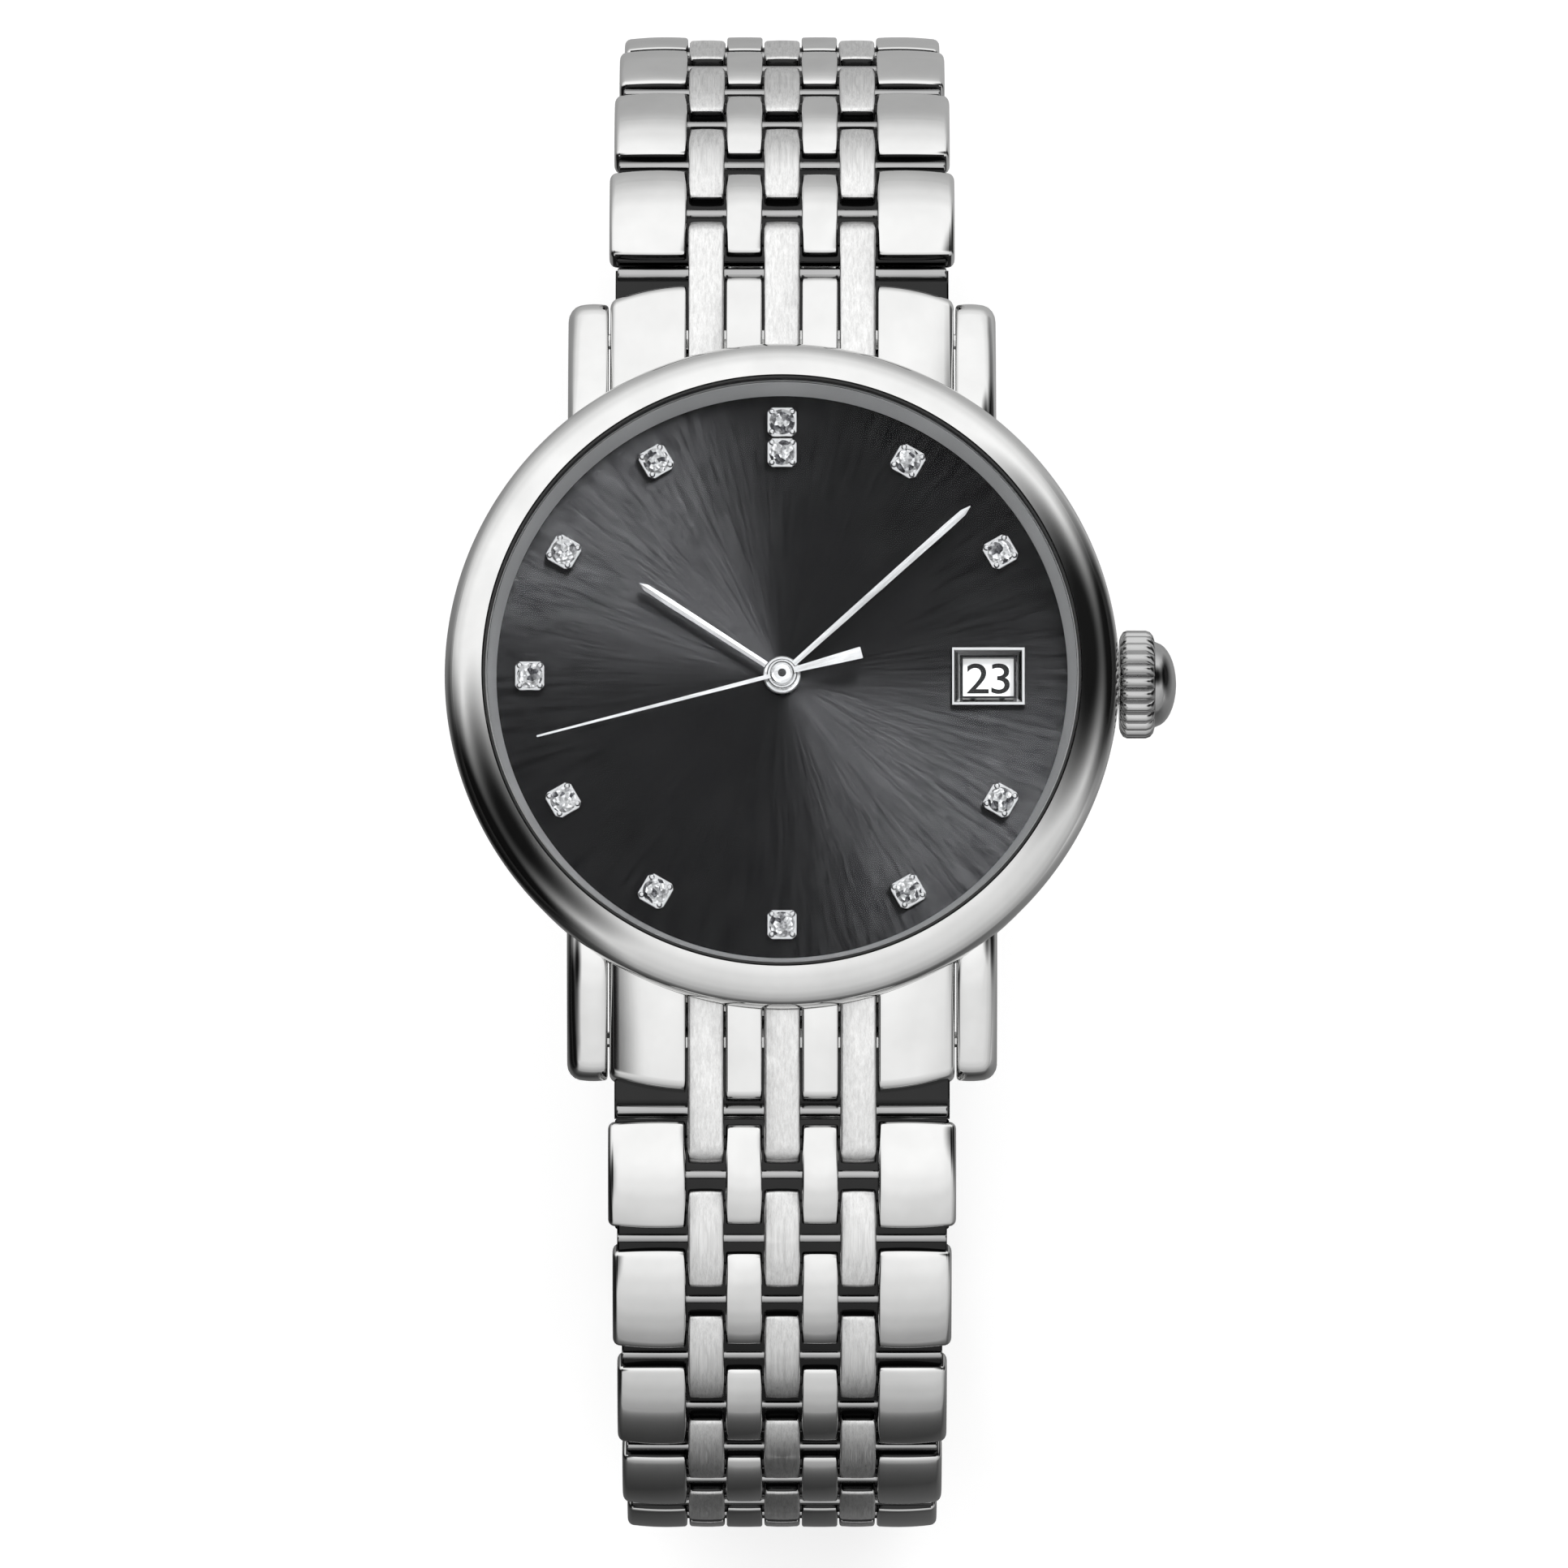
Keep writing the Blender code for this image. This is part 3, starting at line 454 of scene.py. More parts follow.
def grained(name, colour, roughness, stripes=0.0):
    """Plated brass: round grains in rows, or broad straight stripes where stripes gives their width."""
    tree = Tree(name)
    place = tree.place()
    if stripes:
        parts = tree.add("SeparateXYZ", {0: place}).outputs
        pattern = tree.math("FRACT", tree.math("MULTIPLY", parts["X"], 1 / stripes))
    else:
        cells = tree.add("TexVoronoi", {"Vector": place, "Scale": 1.1, "Randomness": 0.15})
        pattern = cells.outputs["Distance"]
    fine = tree.noise(tree.place((3, 3, 3)), 4.0)
    tree.set(
        Base_Color=tree.tint(tree.spread(pattern, 0, 1, 0.0, 0.9), times(colour, 0.72), colour),
        Metallic=1.0,
        Roughness=tree.spread(fine, roughness * 0.8, roughness * 1.2),
        Anisotropic=0.4,
    )
    tree.bump(pattern, 0.3, 0.02)
    return tree.owner


def crystal_glass():
    """Thin clear sapphire with an anti-reflective coat, which shows little of its surroundings."""
    tree = Tree("sapphire_glass")
    smear = tree.noise(tree.place(), 0.2)
    clear = tree.add("BsdfTransparent", {"Color": (0.97, 0.975, 0.98, 1)}).outputs[0]
    gloss = tree.add("BsdfGlossy", {"Roughness": tree.spread(smear, 0.01, 0.03)}).outputs[0]
    edge = tree.add("Fresnel", {"IOR": 1.13}).outputs[0]
    tree.surface(tree.add("MixShader", {0: edge, 1: clear, 2: gloss}).outputs[0])
    tree.nodes.remove(tree.shader)
    return tree.owner


def cut_stone():
    """A clear cut stone. The reflections of its inner faces are painted into its colour as cells of near
    black and white.
    """
    tree = Tree("cut_stone")
    cells = tree.add("TexVoronoi", {"Vector": tree.place(), "Scale": 3.8, "Randomness": 1.0})
    painted_reflection = tree.add("SeparateXYZ", {0: cells.outputs["Color"]}).outputs["X"]
    tree.set(
        # Painted reflection: each cell's shade stands for what one inner face would throw back.
        Base_Color=tree.tint(tree.spread(painted_reflection, 0, 1, 0.2, 0.5), (0.1, 0.1, 0.11), (1.0, 1.0, 1.0)),
        Roughness=0.06, Metallic=0.55, IOR=2.2,
    )
    tree.bump(cells.outputs["Distance"], 0.8, 0.25)
    return tree.owner


CASE_STEEL = polished("case_steel", (0.76, 0.76, 0.755), 0.055)
CROWN_STEEL = polished("crown_steel", (0.5,) * 3, 0.09)
SETTING_STEEL = polished("setting_steel", (0.66,) * 3, 0.1)
LINK_STEEL = polished("link_steel", (0.74, 0.74, 0.735), 0.085)
LINK_BRUSHED = brushed("link_brushed", (0.82, 0.82, 0.815), 0.34)
# Painted shade: near-black steel for the walls, ends, cores and pins of the links, standing for the dark gaps
# between them.
LINK_PAINTED_SHADE = polished("link_inside", (0.03,) * 3, 0.12)
# Painted shade: bars and rods are polished steel dimmed far below the links' own, for the shade of the gaps
# they sit in.
LINK_BAR_SHADED = polished("link_bar", (0.42,) * 3, 0.1)
HAND_STEEL = brushed("hand_steel", (0.82,) * 3, 0.24, (8, 0.8, 8))
REHAUT = enamel("rehaut_grey", (0.7,) * 3, 0.35)
DIAL = sunray_dial()
INK = enamel("numeral_ink", (0.012,) * 3, 0.45)
# Painted light: the date disc glows a little, lifting the window out of the shade of its rim and the crystal.
DATE_WHITE = enamel("date_white", (0.95, 0.95, 0.94), painted_light=0.4)
GLASS = crystal_glass()
STONE = cut_stone()
NYLON = enamel("nylon", (0.55, 0.55, 0.54), 0.5)
RUBBER = enamel("rubber", (0.03,) * 3, 0.7, fineness=9.0, shade=0.4, uneven=1 / 7, bump=(0.3, 0.02))
PLATE = grained("grained_plate", (0.62, 0.62, 0.6), 0.3)
STRIPED = grained("striped_rotor", (0.66, 0.66, 0.64), 0.26, stripes=1.7)
GILT = brushed("gilt_brass", (0.72, 0.52, 0.2), 0.28, (6, 6, 6))
JEWEL = enamel("jewel_red", (0.55, 0.02, 0.05), 0.08)
BRACELET_FINISHES = [LINK_STEEL, LINK_BRUSHED, LINK_PAINTED_SHADE, LINK_BAR_SHADED]


# ---- case ----


def lug_outline(sign):
    """A lug seen from the side. The frame's case gives its tip; it turns down along a smooth line."""
    high = box_mm("mid_case")[1]
    tip, top, root = high.y, high.z, 12.2  # root is inside the band

    def outline(_, inset):
        points = [
            (root, 1.3 + inset, 0.0), (17.0, 0.62 + inset, 1.0), (tip - 0.5 - inset, 0.42 + inset, 0.9),
            (tip - inset, 1.6, 0.9), (tip - 0.25 - inset, 3.0 - inset, 1.1), (17.3, 4.15 - inset, 1.5),
            (14.6, top - 0.42 - inset, 1.5), (root, top - 0.25 - inset, 0.0),
        ]
        return [(sign * y, z) for y, z in eased(points)]

    return outline


def case_band():
    low, high = box_mm("mid_case")
    profile = [
        (BAND_BORE, high.z, 0.05), (BAND_R - 0.12, high.z, 0.08), (BAND_R, high.z - 0.3, 0.4),
        (BAND_R, low.z + 2.0, 1.2), (BAND_R - 1.0, 1.0, 0.3), (BAND_BORE, 1.0, 0.05),
    ]
    bm = bmesh.new()
    turned(bm, eased(profile))
    lugs = bmesh.new()
    for sign in (1, -1):
        across_both(lugs, lug_outline(sign), *LUG_SIDES, (0.16, 0.62), 0.22, 6, 0.35)
    bm = with_boolean(bm, lugs, "UNION")
    piece("case_band", bm, [CASE_STEEL], "case", ("mid_case",), sharp=35)


def bezel_ring():
    """A ring whose top is part of an ellipse, from a slope of its own at the bore to upright at its edge."""
    low, high = box_mm("bezel")
    outer, inner = high.x, BEZEL_BORE + 0.05
    edge, steps = low.z + 0.9, 20
    start = math.radians(34)
    crown_line = []
    for k in range(steps + 1):
        turn = start + (math.pi / 2 - start) * k / steps
        share = (math.sin(turn) - math.sin(start)) / (1 - math.sin(start))
        height = (high.z - edge) * math.cos(turn) / math.cos(start)
        crown_line.append((inner + (outer - inner) * share, edge + height, 0.0))
    profile = [
        (BEZEL_BORE, low.z, 0.05), (BEZEL_BORE, high.z - 0.07, 0.02), *crown_line,
        (outer - 0.02, edge - 0.4, 0.2), (outer - 0.22, low.z, 0.1),
    ]
    turned_piece("bezel_ring", "bezel", eased(profile), CASE_STEEL, SMOOTH * 2, 35)


def glasses():
    """The crystal and the seal round it, and the glass in the back with its seal."""
    low, high = box_mm("crystal")
    edge = high.x + 0.1
    profile = [(0, low.z, 0.0)]
    profile += [(edge * k / 8, high.z - 0.28 * (k / 8) ** 2.2, 0.0) for k in range(8)]
    profile += [(edge - 0.15, high.z - 0.32), (edge, high.z - 0.5), (edge, low.z)]
    turned_piece("crystal_glass", "crystal", eased(profile), GLASS)

    low, high = box_mm("crystal_gasket")
    inner, lip, rim = 15.16, high.x + 0.06, box_mm("bezel")[1].z + 0.01
    profile = [(inner, low.z), (high.x, low.z), (high.x, rim - 0.12), (lip, rim - 0.1)]
    profile += [(lip, rim), (inner, rim)]
    turned_piece("crystal_seal", "crystal_gasket", eased(profile, 0.03), RUBBER, SMOOTH * 2)

    low, high = box_mm("case_back_crystal")
    profile = [(0, low.z, 0), (0, high.z, 0), (high.x, high.z), (high.x, low.z, 0.25)]
    turned_piece("back_glass", "case_back_crystal", eased(profile), GLASS)

    low, high = box_mm("case_back_gasket")
    middle = ((13.2 + high.x) / 2, (low.z + high.z) / 2)
    profile = arc(middle, (high.z - low.z) / 2, 0, 345, 15)
    turned_piece("back_seal", "case_back_gasket", profile, RUBBER)


def case_back():
    """The screwed ring, with its key notches and a fine groove round the window."""
    high = box_mm("case_back_ring")[1]
    outer, window, seat = high.x, 10.6, 0.9  # seat is the height of the face that meets the case
    profile = [
        (13.0, high.z), (14.2, high.z), (14.2, seat, 0.0), (outer, seat), (outer, 0.35, 0.15),
        (outer - 0.8, 0.0, 0.3), (12.2, 0.0, 0.05), (12.1, 0.12, 0.03), (12.0, 0.0, 0.05),
        (window + 0.25, 0.0, 0.1), (window, 0.2, 0.1), (window, seat, 0.05), (13.0, seat, 0.0),
    ]
    bm = bmesh.new()
    turned(bm, eased(profile, 0.06))
    notches = bmesh.new()
    for k in range(6):
        outline = eased([(12.6, -0.8), (14.0, -0.8), (14.0, 0.8), (12.6, 0.8)], 0.2)
        move(slab(notches, outline, -1.0, 0.35, 0.03), Matrix.Rotation(k * math.pi / 3, 4, "Z"))
    bm = with_boolean(bm, notches, "DIFFERENCE")
    piece("back_ring", bm, [CASE_STEEL], "case", ("case_back_ring",), sharp=35)


def crown_knob():
    """The fluted crown: rounded ridges between two smooth rims, and a plain domed end. Each station is a
    place along X, a radius and how much of the flutes' depth it has."""
    low, high = box_mm("crown")
    start, tip, radius, dome_r = low.x - 0.07, high.x, high.y, 2.16
    neck = 18.25  # the bottom of the hollow that takes the crown tube
    flutes, per_flute, depth = 24, 8, 0.42
    shoulder = start + 1.8
    side = [
        (0.1, 1.25, 0), (0, 1.4, 0), (0, radius - 0.5, 0), (0.06, radius - 0.3, 0.3),
        (0.2, radius - 0.08, 0.9), (0.4, radius, 1), (1.35, radius, 1), (1.58, radius - 0.08, 0.9),
        (1.74, radius - 0.28, 0.4), (1.8, radius - 0.5, 0), (1.82, 2.2, 0),
    ]
    stations = [(neck, 0.56, 0), (neck, 1.22, 0), *((start + x, base, share) for x, base, share in side)]
    for k in range(9):
        turn = math.radians(8 + 78 * k / 8)
        stations.append((shoulder + (tip - shoulder) * math.sin(turn), dome_r * math.cos(turn), 0))
    sections = []
    for x, base, share in stations:
        ring = []
        for k in range(flutes * per_flute):
            wave = abs(math.sin(math.pi * k / per_flute)) ** 0.6
            turn = 360 * k / (flutes * per_flute)
            ring.append((x, *polar(base - depth * share * (1 - wave), turn).xy))
        sections.append(ring)
    bm = bmesh.new()
    loft(bm, sections)
    move(bm.verts, Matrix.Translation((0, 0, (low.z + high.z) / 2)))
    piece("crown_knob", bm, [CROWN_STEEL], "crown", ("crown",), sharp=45)


# ---- dial side ----


def rehaut():
    low, high = box_mm("rehaut_ring")
    profile = eased([(14.6, low.z), (15.06, high.z), (15.2, high.z), (15.2, low.z)], 0.03)
    turned_piece("rehaut_flange", "rehaut_ring", profile, REHAUT, SMOOTH * 2, 25)


def date_rim():
    """A rectangular rim that slopes down to the date window, bright on its flat edge."""
    low, high = box_mm("date_frame")
    middle, half = (low + high) / 2, (high - low) / 2
    insets = [
        (0, 0, low.z), (0, 0, high.z - 0.02), (0.03, 0.03, high.z), (0.12, 0.12, high.z),
        (0.16, 0.16, high.z - 0.02), (0.4, 0.36, low.z + 0.02), (0.42, 0.38, low.z),
    ]
    sections = [
        [(*(middle.xy + corner), z) for corner in rectangle(half.x - x, half.y - y)] for x, y, z in insets
    ]
    bm = bmesh.new()
    loft(bm, sections, closed=True)
    piece("date_rim", bm, [CASE_STEEL], "case", ("date_frame",), sharp=15)


def date_numerals():
    """The numbers 1 to 31 printed round the date disc, upright where they pass the window at 3 o'clock."""
    high = box_mm("date_disc")[1].z
    window = box_mm("date_frame")
    radius = (window[0].x + window[1].x) / 2
    shown, width, height = 23, 2.2, 1.58  # of the number in the window
    scale = None
    bm = bmesh.new()
    for day in sorted(range(1, 32), key=lambda number: number != shown):
        text = bpy.data.curves.new("day", "FONT")
        text.body = str(day)
        text.align_x = text.align_y = "CENTER"
        text.space_character = 0.92
        text.extrude = 0.004
        text.offset = 0.004
        text.resolution_u = 6
        guide = linked("day", text)
        mesh = bpy.data.meshes.new_from_object(guide.evaluated_get(bpy.context.evaluated_depsgraph_get()))
        xs = [vert.co.x for vert in mesh.vertices]
        ys = [vert.co.y for vert in mesh.vertices]
        if scale is None:
            scale = (width / (max(xs) - min(xs)), height / (max(ys) - min(ys)))
        mesh.transform(Matrix.Translation((-(max(xs) + min(xs)) / 2, -(max(ys) + min(ys)) / 2, 0)))
        turn = Matrix.Rotation((day - shown) * 2 * math.pi / 31, 4, "Z")
        centre = Matrix.Translation((radius, 0, high + 0.008))
        mesh.transform(turn @ centre @ Matrix.Diagonal((*scale, 1, 1)))
        bm.from_mesh(mesh)
        bpy.data.objects.remove(guide, do_unlink=True)
        bpy.data.curves.remove(text)
        bpy.data.meshes.remove(mesh)
    bmesh.ops.remove_doubles(bm, verts=bm.verts, dist=0.0001)
    piece("date_numerals", bm, [INK], "date_disc")


def marker_places():
    """Where each hour marker stands: one at every hour but 3, and two in line at 12."""
    places = []
    for hour in range(1, 13):
        angle = 90 - 30 * hour
        if hour == 12:
            places += [(11.62, angle), (13.22, angle)]
        elif hour != 3:
            places.append((12.9, angle))
    return places


def marker_settings():
    """Square settings with a round seat, chamfered corners and four prongs over each stone."""
    top = box_mm("dial")[1].z
    half, seat, steps = 0.76, 0.64, 32
    bm = bmesh.new()
    for radius, degrees in marker_places():
        sections = []
        for k in range(steps):
            turn = 2 * math.pi * k / steps
            c, s = math.cos(turn), math.sin(turn)
            square = min(half / max(abs(c), abs(s)), half * 1.2)
            ring = [(seat * 0.8, 0.12), (seat, 0.3), (seat + 0.02, 0.34), (square - 0.03, 0.34)]
            ring += [(square, 0.31), (square, 0.02), (seat * 0.8, 0.02)]
            sections.append([(r * c, r * s, z) for r, z in ring])
        verts = loft(bm, sections, closed=True)
        for corner in (45, 135, 225, 315):
            prong = turned(bm, [(0, 0.2), (0.15, 0.2), (0.15, 0.42), (0.1, 0.5), (0, 0.53)], 10)
            move(prong, Matrix.Translation(polar(seat + 0.1, corner)))
            verts += prong
        turn = Matrix.Rotation(math.radians(degrees), 4, "Z")
        move(verts, Matrix.Translation(polar(radius, degrees, top)) @ turn)
    piece("marker_settings", bm, [SETTING_STEEL], "case", sharp=25)


def marker_stones():
    """Round brilliant-cut stones: a flat table, two rings of facets above the girdle and one below it."""
    top = box_mm("dial")[1].z
    girdle, stone_r = 0.33, 0.66
    bm = bmesh.new()
    for index, (radius, degrees) in enumerate(marker_places()):
        points = [(0.0, 0.0, girdle - 0.27)]
        for k in range(16):
            turn = 22.5 * k
            points.append(polar(stone_r, turn, girdle))
            points.append(polar(stone_r, turn, girdle + 0.02))
            if k % 2:
                points.append(polar(stone_r * 0.8, turn, girdle + 0.13))
            else:
                points.append(polar(stone_r * 0.54, turn, girdle + 0.2))
                points.append(polar(stone_r * 0.5, turn, girdle - 0.16))
        spot = Matrix.Translation(polar(radius, degrees, top))
        spot = spot @ Matrix.Rotation(math.radians(degrees + 17 * index), 4, "Z")
        verts = [bm.verts.new(spot @ Vector(point)) for point in points]
        bmesh.ops.convex_hull(bm, input=verts)
    piece("marker_stones", bm, [STONE], "case", sharp=1)


def boss(outer, tube, bore, top, level, bottom):
    """The profile of a hand's boss and the tube below it; bore is 0 where the tube is closed."""
    edge = [(tube, bottom), (tube, level - 0.05), (outer, level), (outer, top - 0.05)]
    if bore:
        lip = [(outer - 0.06, top), (bore + 0.04, top), (bore, top - 0.04), (bore, bottom)]
    else:
        lip = [(outer - 0.08, top), (0.42, top - 0.03), (0.24, top), (0, top), (0, bottom)]
    return edge + lip


def hand(node, blade, level, thick, roof, radii, height):
    """A hand with a roof-shaped blade, given as (distance from the hub, half width) stations. radii and
    height are those of its boss. It is made pointing to 12 o'clock, then turned to where the frame's is."""
    low, high = box_mm(node)
    centre = (low + high) / 2
    top, edge = level + height, level + thick
    widest = max(half for _, half in blade)
    sections = []
    for y, half in blade:
        ridge = edge + roof * half / widest
        left, right = [(-half, y, level), (-half, y, edge)], [(half, y, edge), (half, y, level)]
        sections.append([*left, (0, y, ridge), *right])
    bm = bmesh.new()
    loft(bm, sections)
    turned(bm, boss(*radii, top, level, low.z), 48)
    if node == "seconds_hand":
        pin = [(0, top - 0.05), (0.21, top - 0.05), (0.21, top + 0.01), (0.08, top + 0.02), (0, top + 0.02)]
        turned(bm, pin, SMALL, 1)
    matrix = Matrix.Rotation(math.atan2(-centre.x, centre.y), 4, "Z")
    piece(f"{node}_blade", bm, [HAND_STEEL, INK], node, (node,), 20, matrix)


def hands():
    hour = [(0.7, 0.16), (7.0, 0.2), (8.3, 0.18), (8.7, 0.02)]
    hand("hour_hand", hour, level=6.5, thick=0.1, roof=0.06, radii=(0.98, 0.8, 0.62), height=0.2)
    minute = [(0.6, 0.14), (11.5, 0.19), (12.5, 0.17), (13.0, 0.02)]
    hand("minute_hand", minute, level=6.82, thick=0.1, roof=0.06, radii=(0.78, 0.5, 0.32), height=0.2)
    seconds = [(-4.2, 0.3), (-4.0, 0.3), (-0.3, 0.13), (0.3, 0.11), (12.9, 0.05), (12.95, 0.04)]
    hand("seconds_hand", seconds, level=7.12, thick=0.08, roof=0.03, radii=(0.62, 0.2, 0), height=0.16)


# ---- bracelet ----


def link_outline(sag, end, crest=LINK_TOP, bottom=LINK_BOTTOM):
    """A link seen from the side: an arched top, rounded corners at its ends and a flatter underside. sag is
    how far the arch falls from its crest, and end how far the link reaches past its two pins."""
    def outline(_, inset):
        half = PITCH / 2 + end - inset
        top = [(half * k / 6, crest - inset - sag * (k / 6) ** 2, 0.0) for k in range(-5, 6)]
        right = [(half, crest - inset - sag, 0.62), (half + 0.02, 0.0, 0.3)]
        right.append((half - 0.05, inset - bottom, 0.6))
        left = [(-y, z, reach) for y, z, reach in reversed(right)]
        return [(PITCH / 2 + y, z) for y, z in eased([*top, *right, *left], steps=5)]
    return outline


def bar_outline(centre, radius):
    """A bar or pin seen from its end: an oval with flattened sides."""
    def outline(_, inset):
        half_y, half_z = radius - inset, radius * 1.4 - inset
        circle = [polar(1.0, 360 * k / 16) for k in range(16)]
        oval = [[math.copysign(abs(value) ** 0.7, value) for value in point.xy] for point in circle]
        return [(centre[0] + half_y * y, centre[1] + half_z * z) for y, z in oval]
    return outline


def darken_ends(verts):
    """The end faces of links, which only their neighbours see, get the near-black finish: painted shade for
    the narrow gaps between them.
    """
    for face in {face for vert in verts for face in vert.link_faces}:
        face.normal_update()
        if abs(face.normal.y) > 0.88:
            face.material_index = PAINTED_SHADE


def inner_links(bm, outline_at, columns, ease, crown, material=STEEL):
    """Links in some of the five inner columns, counted from the middle one."""
    verts = []
    for column in columns:
        low_x, high_x = column * COLUMN - HALF_LINK, column * COLUMN + HALF_LINK
        # Both flat sides of each link get the near-black finish, painted shade.
        verts += across(bm, outline_at, low_x, high_x, (ease, ease), crown, material, walls=(PAINTED_SHADE, PAINTED_SHADE))
    return verts


def row_of_links(bm, row):
    """One row in its own axes, its near pin at the origin. Odd rows have four polished links, wide-set, and
    even rows three brushed ones, close-set; a bar across the middle and a pin hold each row together."""
    half_width = (WIDTH_AT_LUGS - TAPER_PER_ROW * (min(row, TAPER_ROWS) - 1)) / 2
    if row % 2:
        wide = link_outline(0.54, LINK_END + LONGER)
        verts = inner_links(bm, link_outline(0.62, LINK_END), (-1, 1), 0.11, 0.02)
        # The inner side of each broad link gets the near-black finish, painted shade.
        verts += across_both(bm, wide, BROAD_FROM, half_width, (0.14, 0.3), 0.14, 7, 0.35, (PAINTED_SHADE, STEEL))
    else:
        verts = inner_links(bm, link_outline(0.44, LINK_END), (-2, 0, 2), 0.15, 0.04, BRUSHED)
    darken_ends(verts)
    reach = half_width - 0.35
    pin_reach = reach - 0.2
    # The core under the links and the pin get the near-black finish: painted shade for the dark gap between
    # rows.
    verts += across(bm, link_outline(0.3, 1.2, 0.4, 0.55), -reach, reach, (0.15, 0.15), material=PAINTED_SHADE)
    # The bar is the dimmed steel, painted shade for the gap it sits in.
    verts += across(bm, bar_outline((PITCH / 2, 0.28), 0.24), -reach, reach, (0.1, 0.1), material=BAR)
    verts += across(bm, bar_outline((0, 0), PIN_R * 0.8), -pin_reach, pin_reach, (0.05, 0.05), material=PAINTED_SHADE)
    return verts


def bracelet():
    """Each row of links in the place that the frame's hinges give it. The slope of a row is the direction
    from its hinge to the next; two joined rows bend by the angle that brings the second one's end there."""
    for side in ("12", "6"):
        nodes = sorted(name for name in frame["nodes"] if name.startswith(f"links_{side}_"))
        places = [hinge_place(node) for node in nodes]
        if side == "6":
            places.append(hinge_place("clasp_inner_blade"))
        turn = Matrix.Rotation(math.pi if side == "6" else 0.0, 4, "Z")
        slope = bend = 0.0
        for index, node in enumerate(nodes):
            rows = [int(number) for number in node.split("_")[2:]]
            if index + 1 < len(places):
                chord = places[index + 1] - places[index]
                slope = math.atan2(-chord.z, chord.y if side == "12" else -chord.y)
                if len(rows) == 2:
                    bend = 2 * math.acos(min(1.0, chord.length / (2 * PITCH)))
                    slope -= bend / 2
            else:
                slope += 2 * bend
            bm = bmesh.new()
            row_of_links(bm, rows[0])
            if len(rows) == 2:
                following = row_of_links(bm, rows[1])
                move(following, Matrix.Translation((0, PITCH, 0)) @ Matrix.Rotation(-bend, 4, "X"))
            matrix = Matrix.Translation(places[index] * MM) @ turn @ Matrix.Rotation(-slope, 4, "X")
            name = node.replace("links_", "bracelet_row_")
            piece(name, bm, BRACELET_FINISHES, node, (node,), 50, matrix)


def end_links():
    """The pieces between the lugs, curved to the case: two broad outer parts, two strips and three fingers,
    on a near-black core, painted shade for the gap behind them, with a rod in front of it."""
    hollow = 17.02  # radius of the curve that lies against the case
    pin = hinge_place("links_12_01")
    rise = math.tan(math.radians(15))
    outer = box_mm("end_link_12")[1].x

    def top(y):
        return pin.z + LINK_TOP + (pin.y - y) * rise

    def near(x):
        return math.sqrt(hollow**2 - x * x)

    def stub(end, corner, bow):
        """bow is how much farther the end reaches at its inner side than at its outer one."""
        def outline(x, inset):
            reach = end - inset - bow * (abs(x) - BROAD_FROM) / (outer - BROAD_FROM)
            upper = top(reach) - inset
            points = [(near(x), 0.95, 0.05), (reach - 0.4, 0.8, 0.4), (reach, 1.4, 0.4)]
            points += [(reach, upper - corner * 0.55, corner), (reach - corner * 0.6, upper, corner * 0.8)]
            points += [(near(x), top(near(x)) - inset, 0.05)]
            return eased(points, steps=5)
        return outline

    def finger(x, inset):
        bend = [(*point, 0.0) for point in arc((pin.y, pin.z), LINK_TOP - inset, -90, 75, 14)]
        return eased([(near(x), 0.85 + inset, 0.05), *bend, (near(x), top(near(x)) - inset, 0.05)])

    def core(x, inset):
        y0, y1 = near(x), pin.y - 1.32
        low, high = 0.9 + inset, 2.3 - inset
        return eased([(y0, low), (y1, low, 0.3), (y1, high - 0.5, 0.4), (y1 - 0.8, high), (y0, high + 0.3)])

    broad, strip = stub(END_LINK_Y, 0.45, 0.25), stub(STRIP_Y, 0.35, 0.0)
    rod = bar_outline((pin.y - 1.62, pin.z + 0.1), 0.3)
    core_reach, rod_reach = outer - 0.25, outer - 0.35
    for side, turn in (("12", 0.0), ("6", math.pi)):
        bm = bmesh.new()
        # The inner sides of the broad parts and the core below them are near-black, painted shade.
        across_both(bm, broad, BROAD_FROM, outer, (0.12, 0.3), 0.5, 14, 0.1, (PAINTED_SHADE, STEEL))
        inner_links(bm, strip, (-1, 1), 0.11, 0.02)
        inner_links(bm, finger, (-2, 0, 2), 0.15, 0.04, BRUSHED)
        across(bm, core, -core_reach, core_reach, (0.1, 0.1), material=PAINTED_SHADE, middle_steps=10)
        # The rod is the dimmed steel, painted shade.
        across(bm, rod, -rod_reach, rod_reach, (0.1, 0.1), material=BAR)
        move(bm.verts, Matrix.Rotation(turn, 4, "Z"))
        node = f"end_link_{side}"
        piece(f"bracelet_end_{side}", bm, BRACELET_FINISHES, "case", (node,), 50)


def clasp():
    for part in ("cover", "inner_blade", "middle_blade", "button_left", "button_right"):
        softened(f"clasp_{part}", LINK_STEEL if "button" in part else LINK_BRUSHED, 0.12)


# ---- movement ----


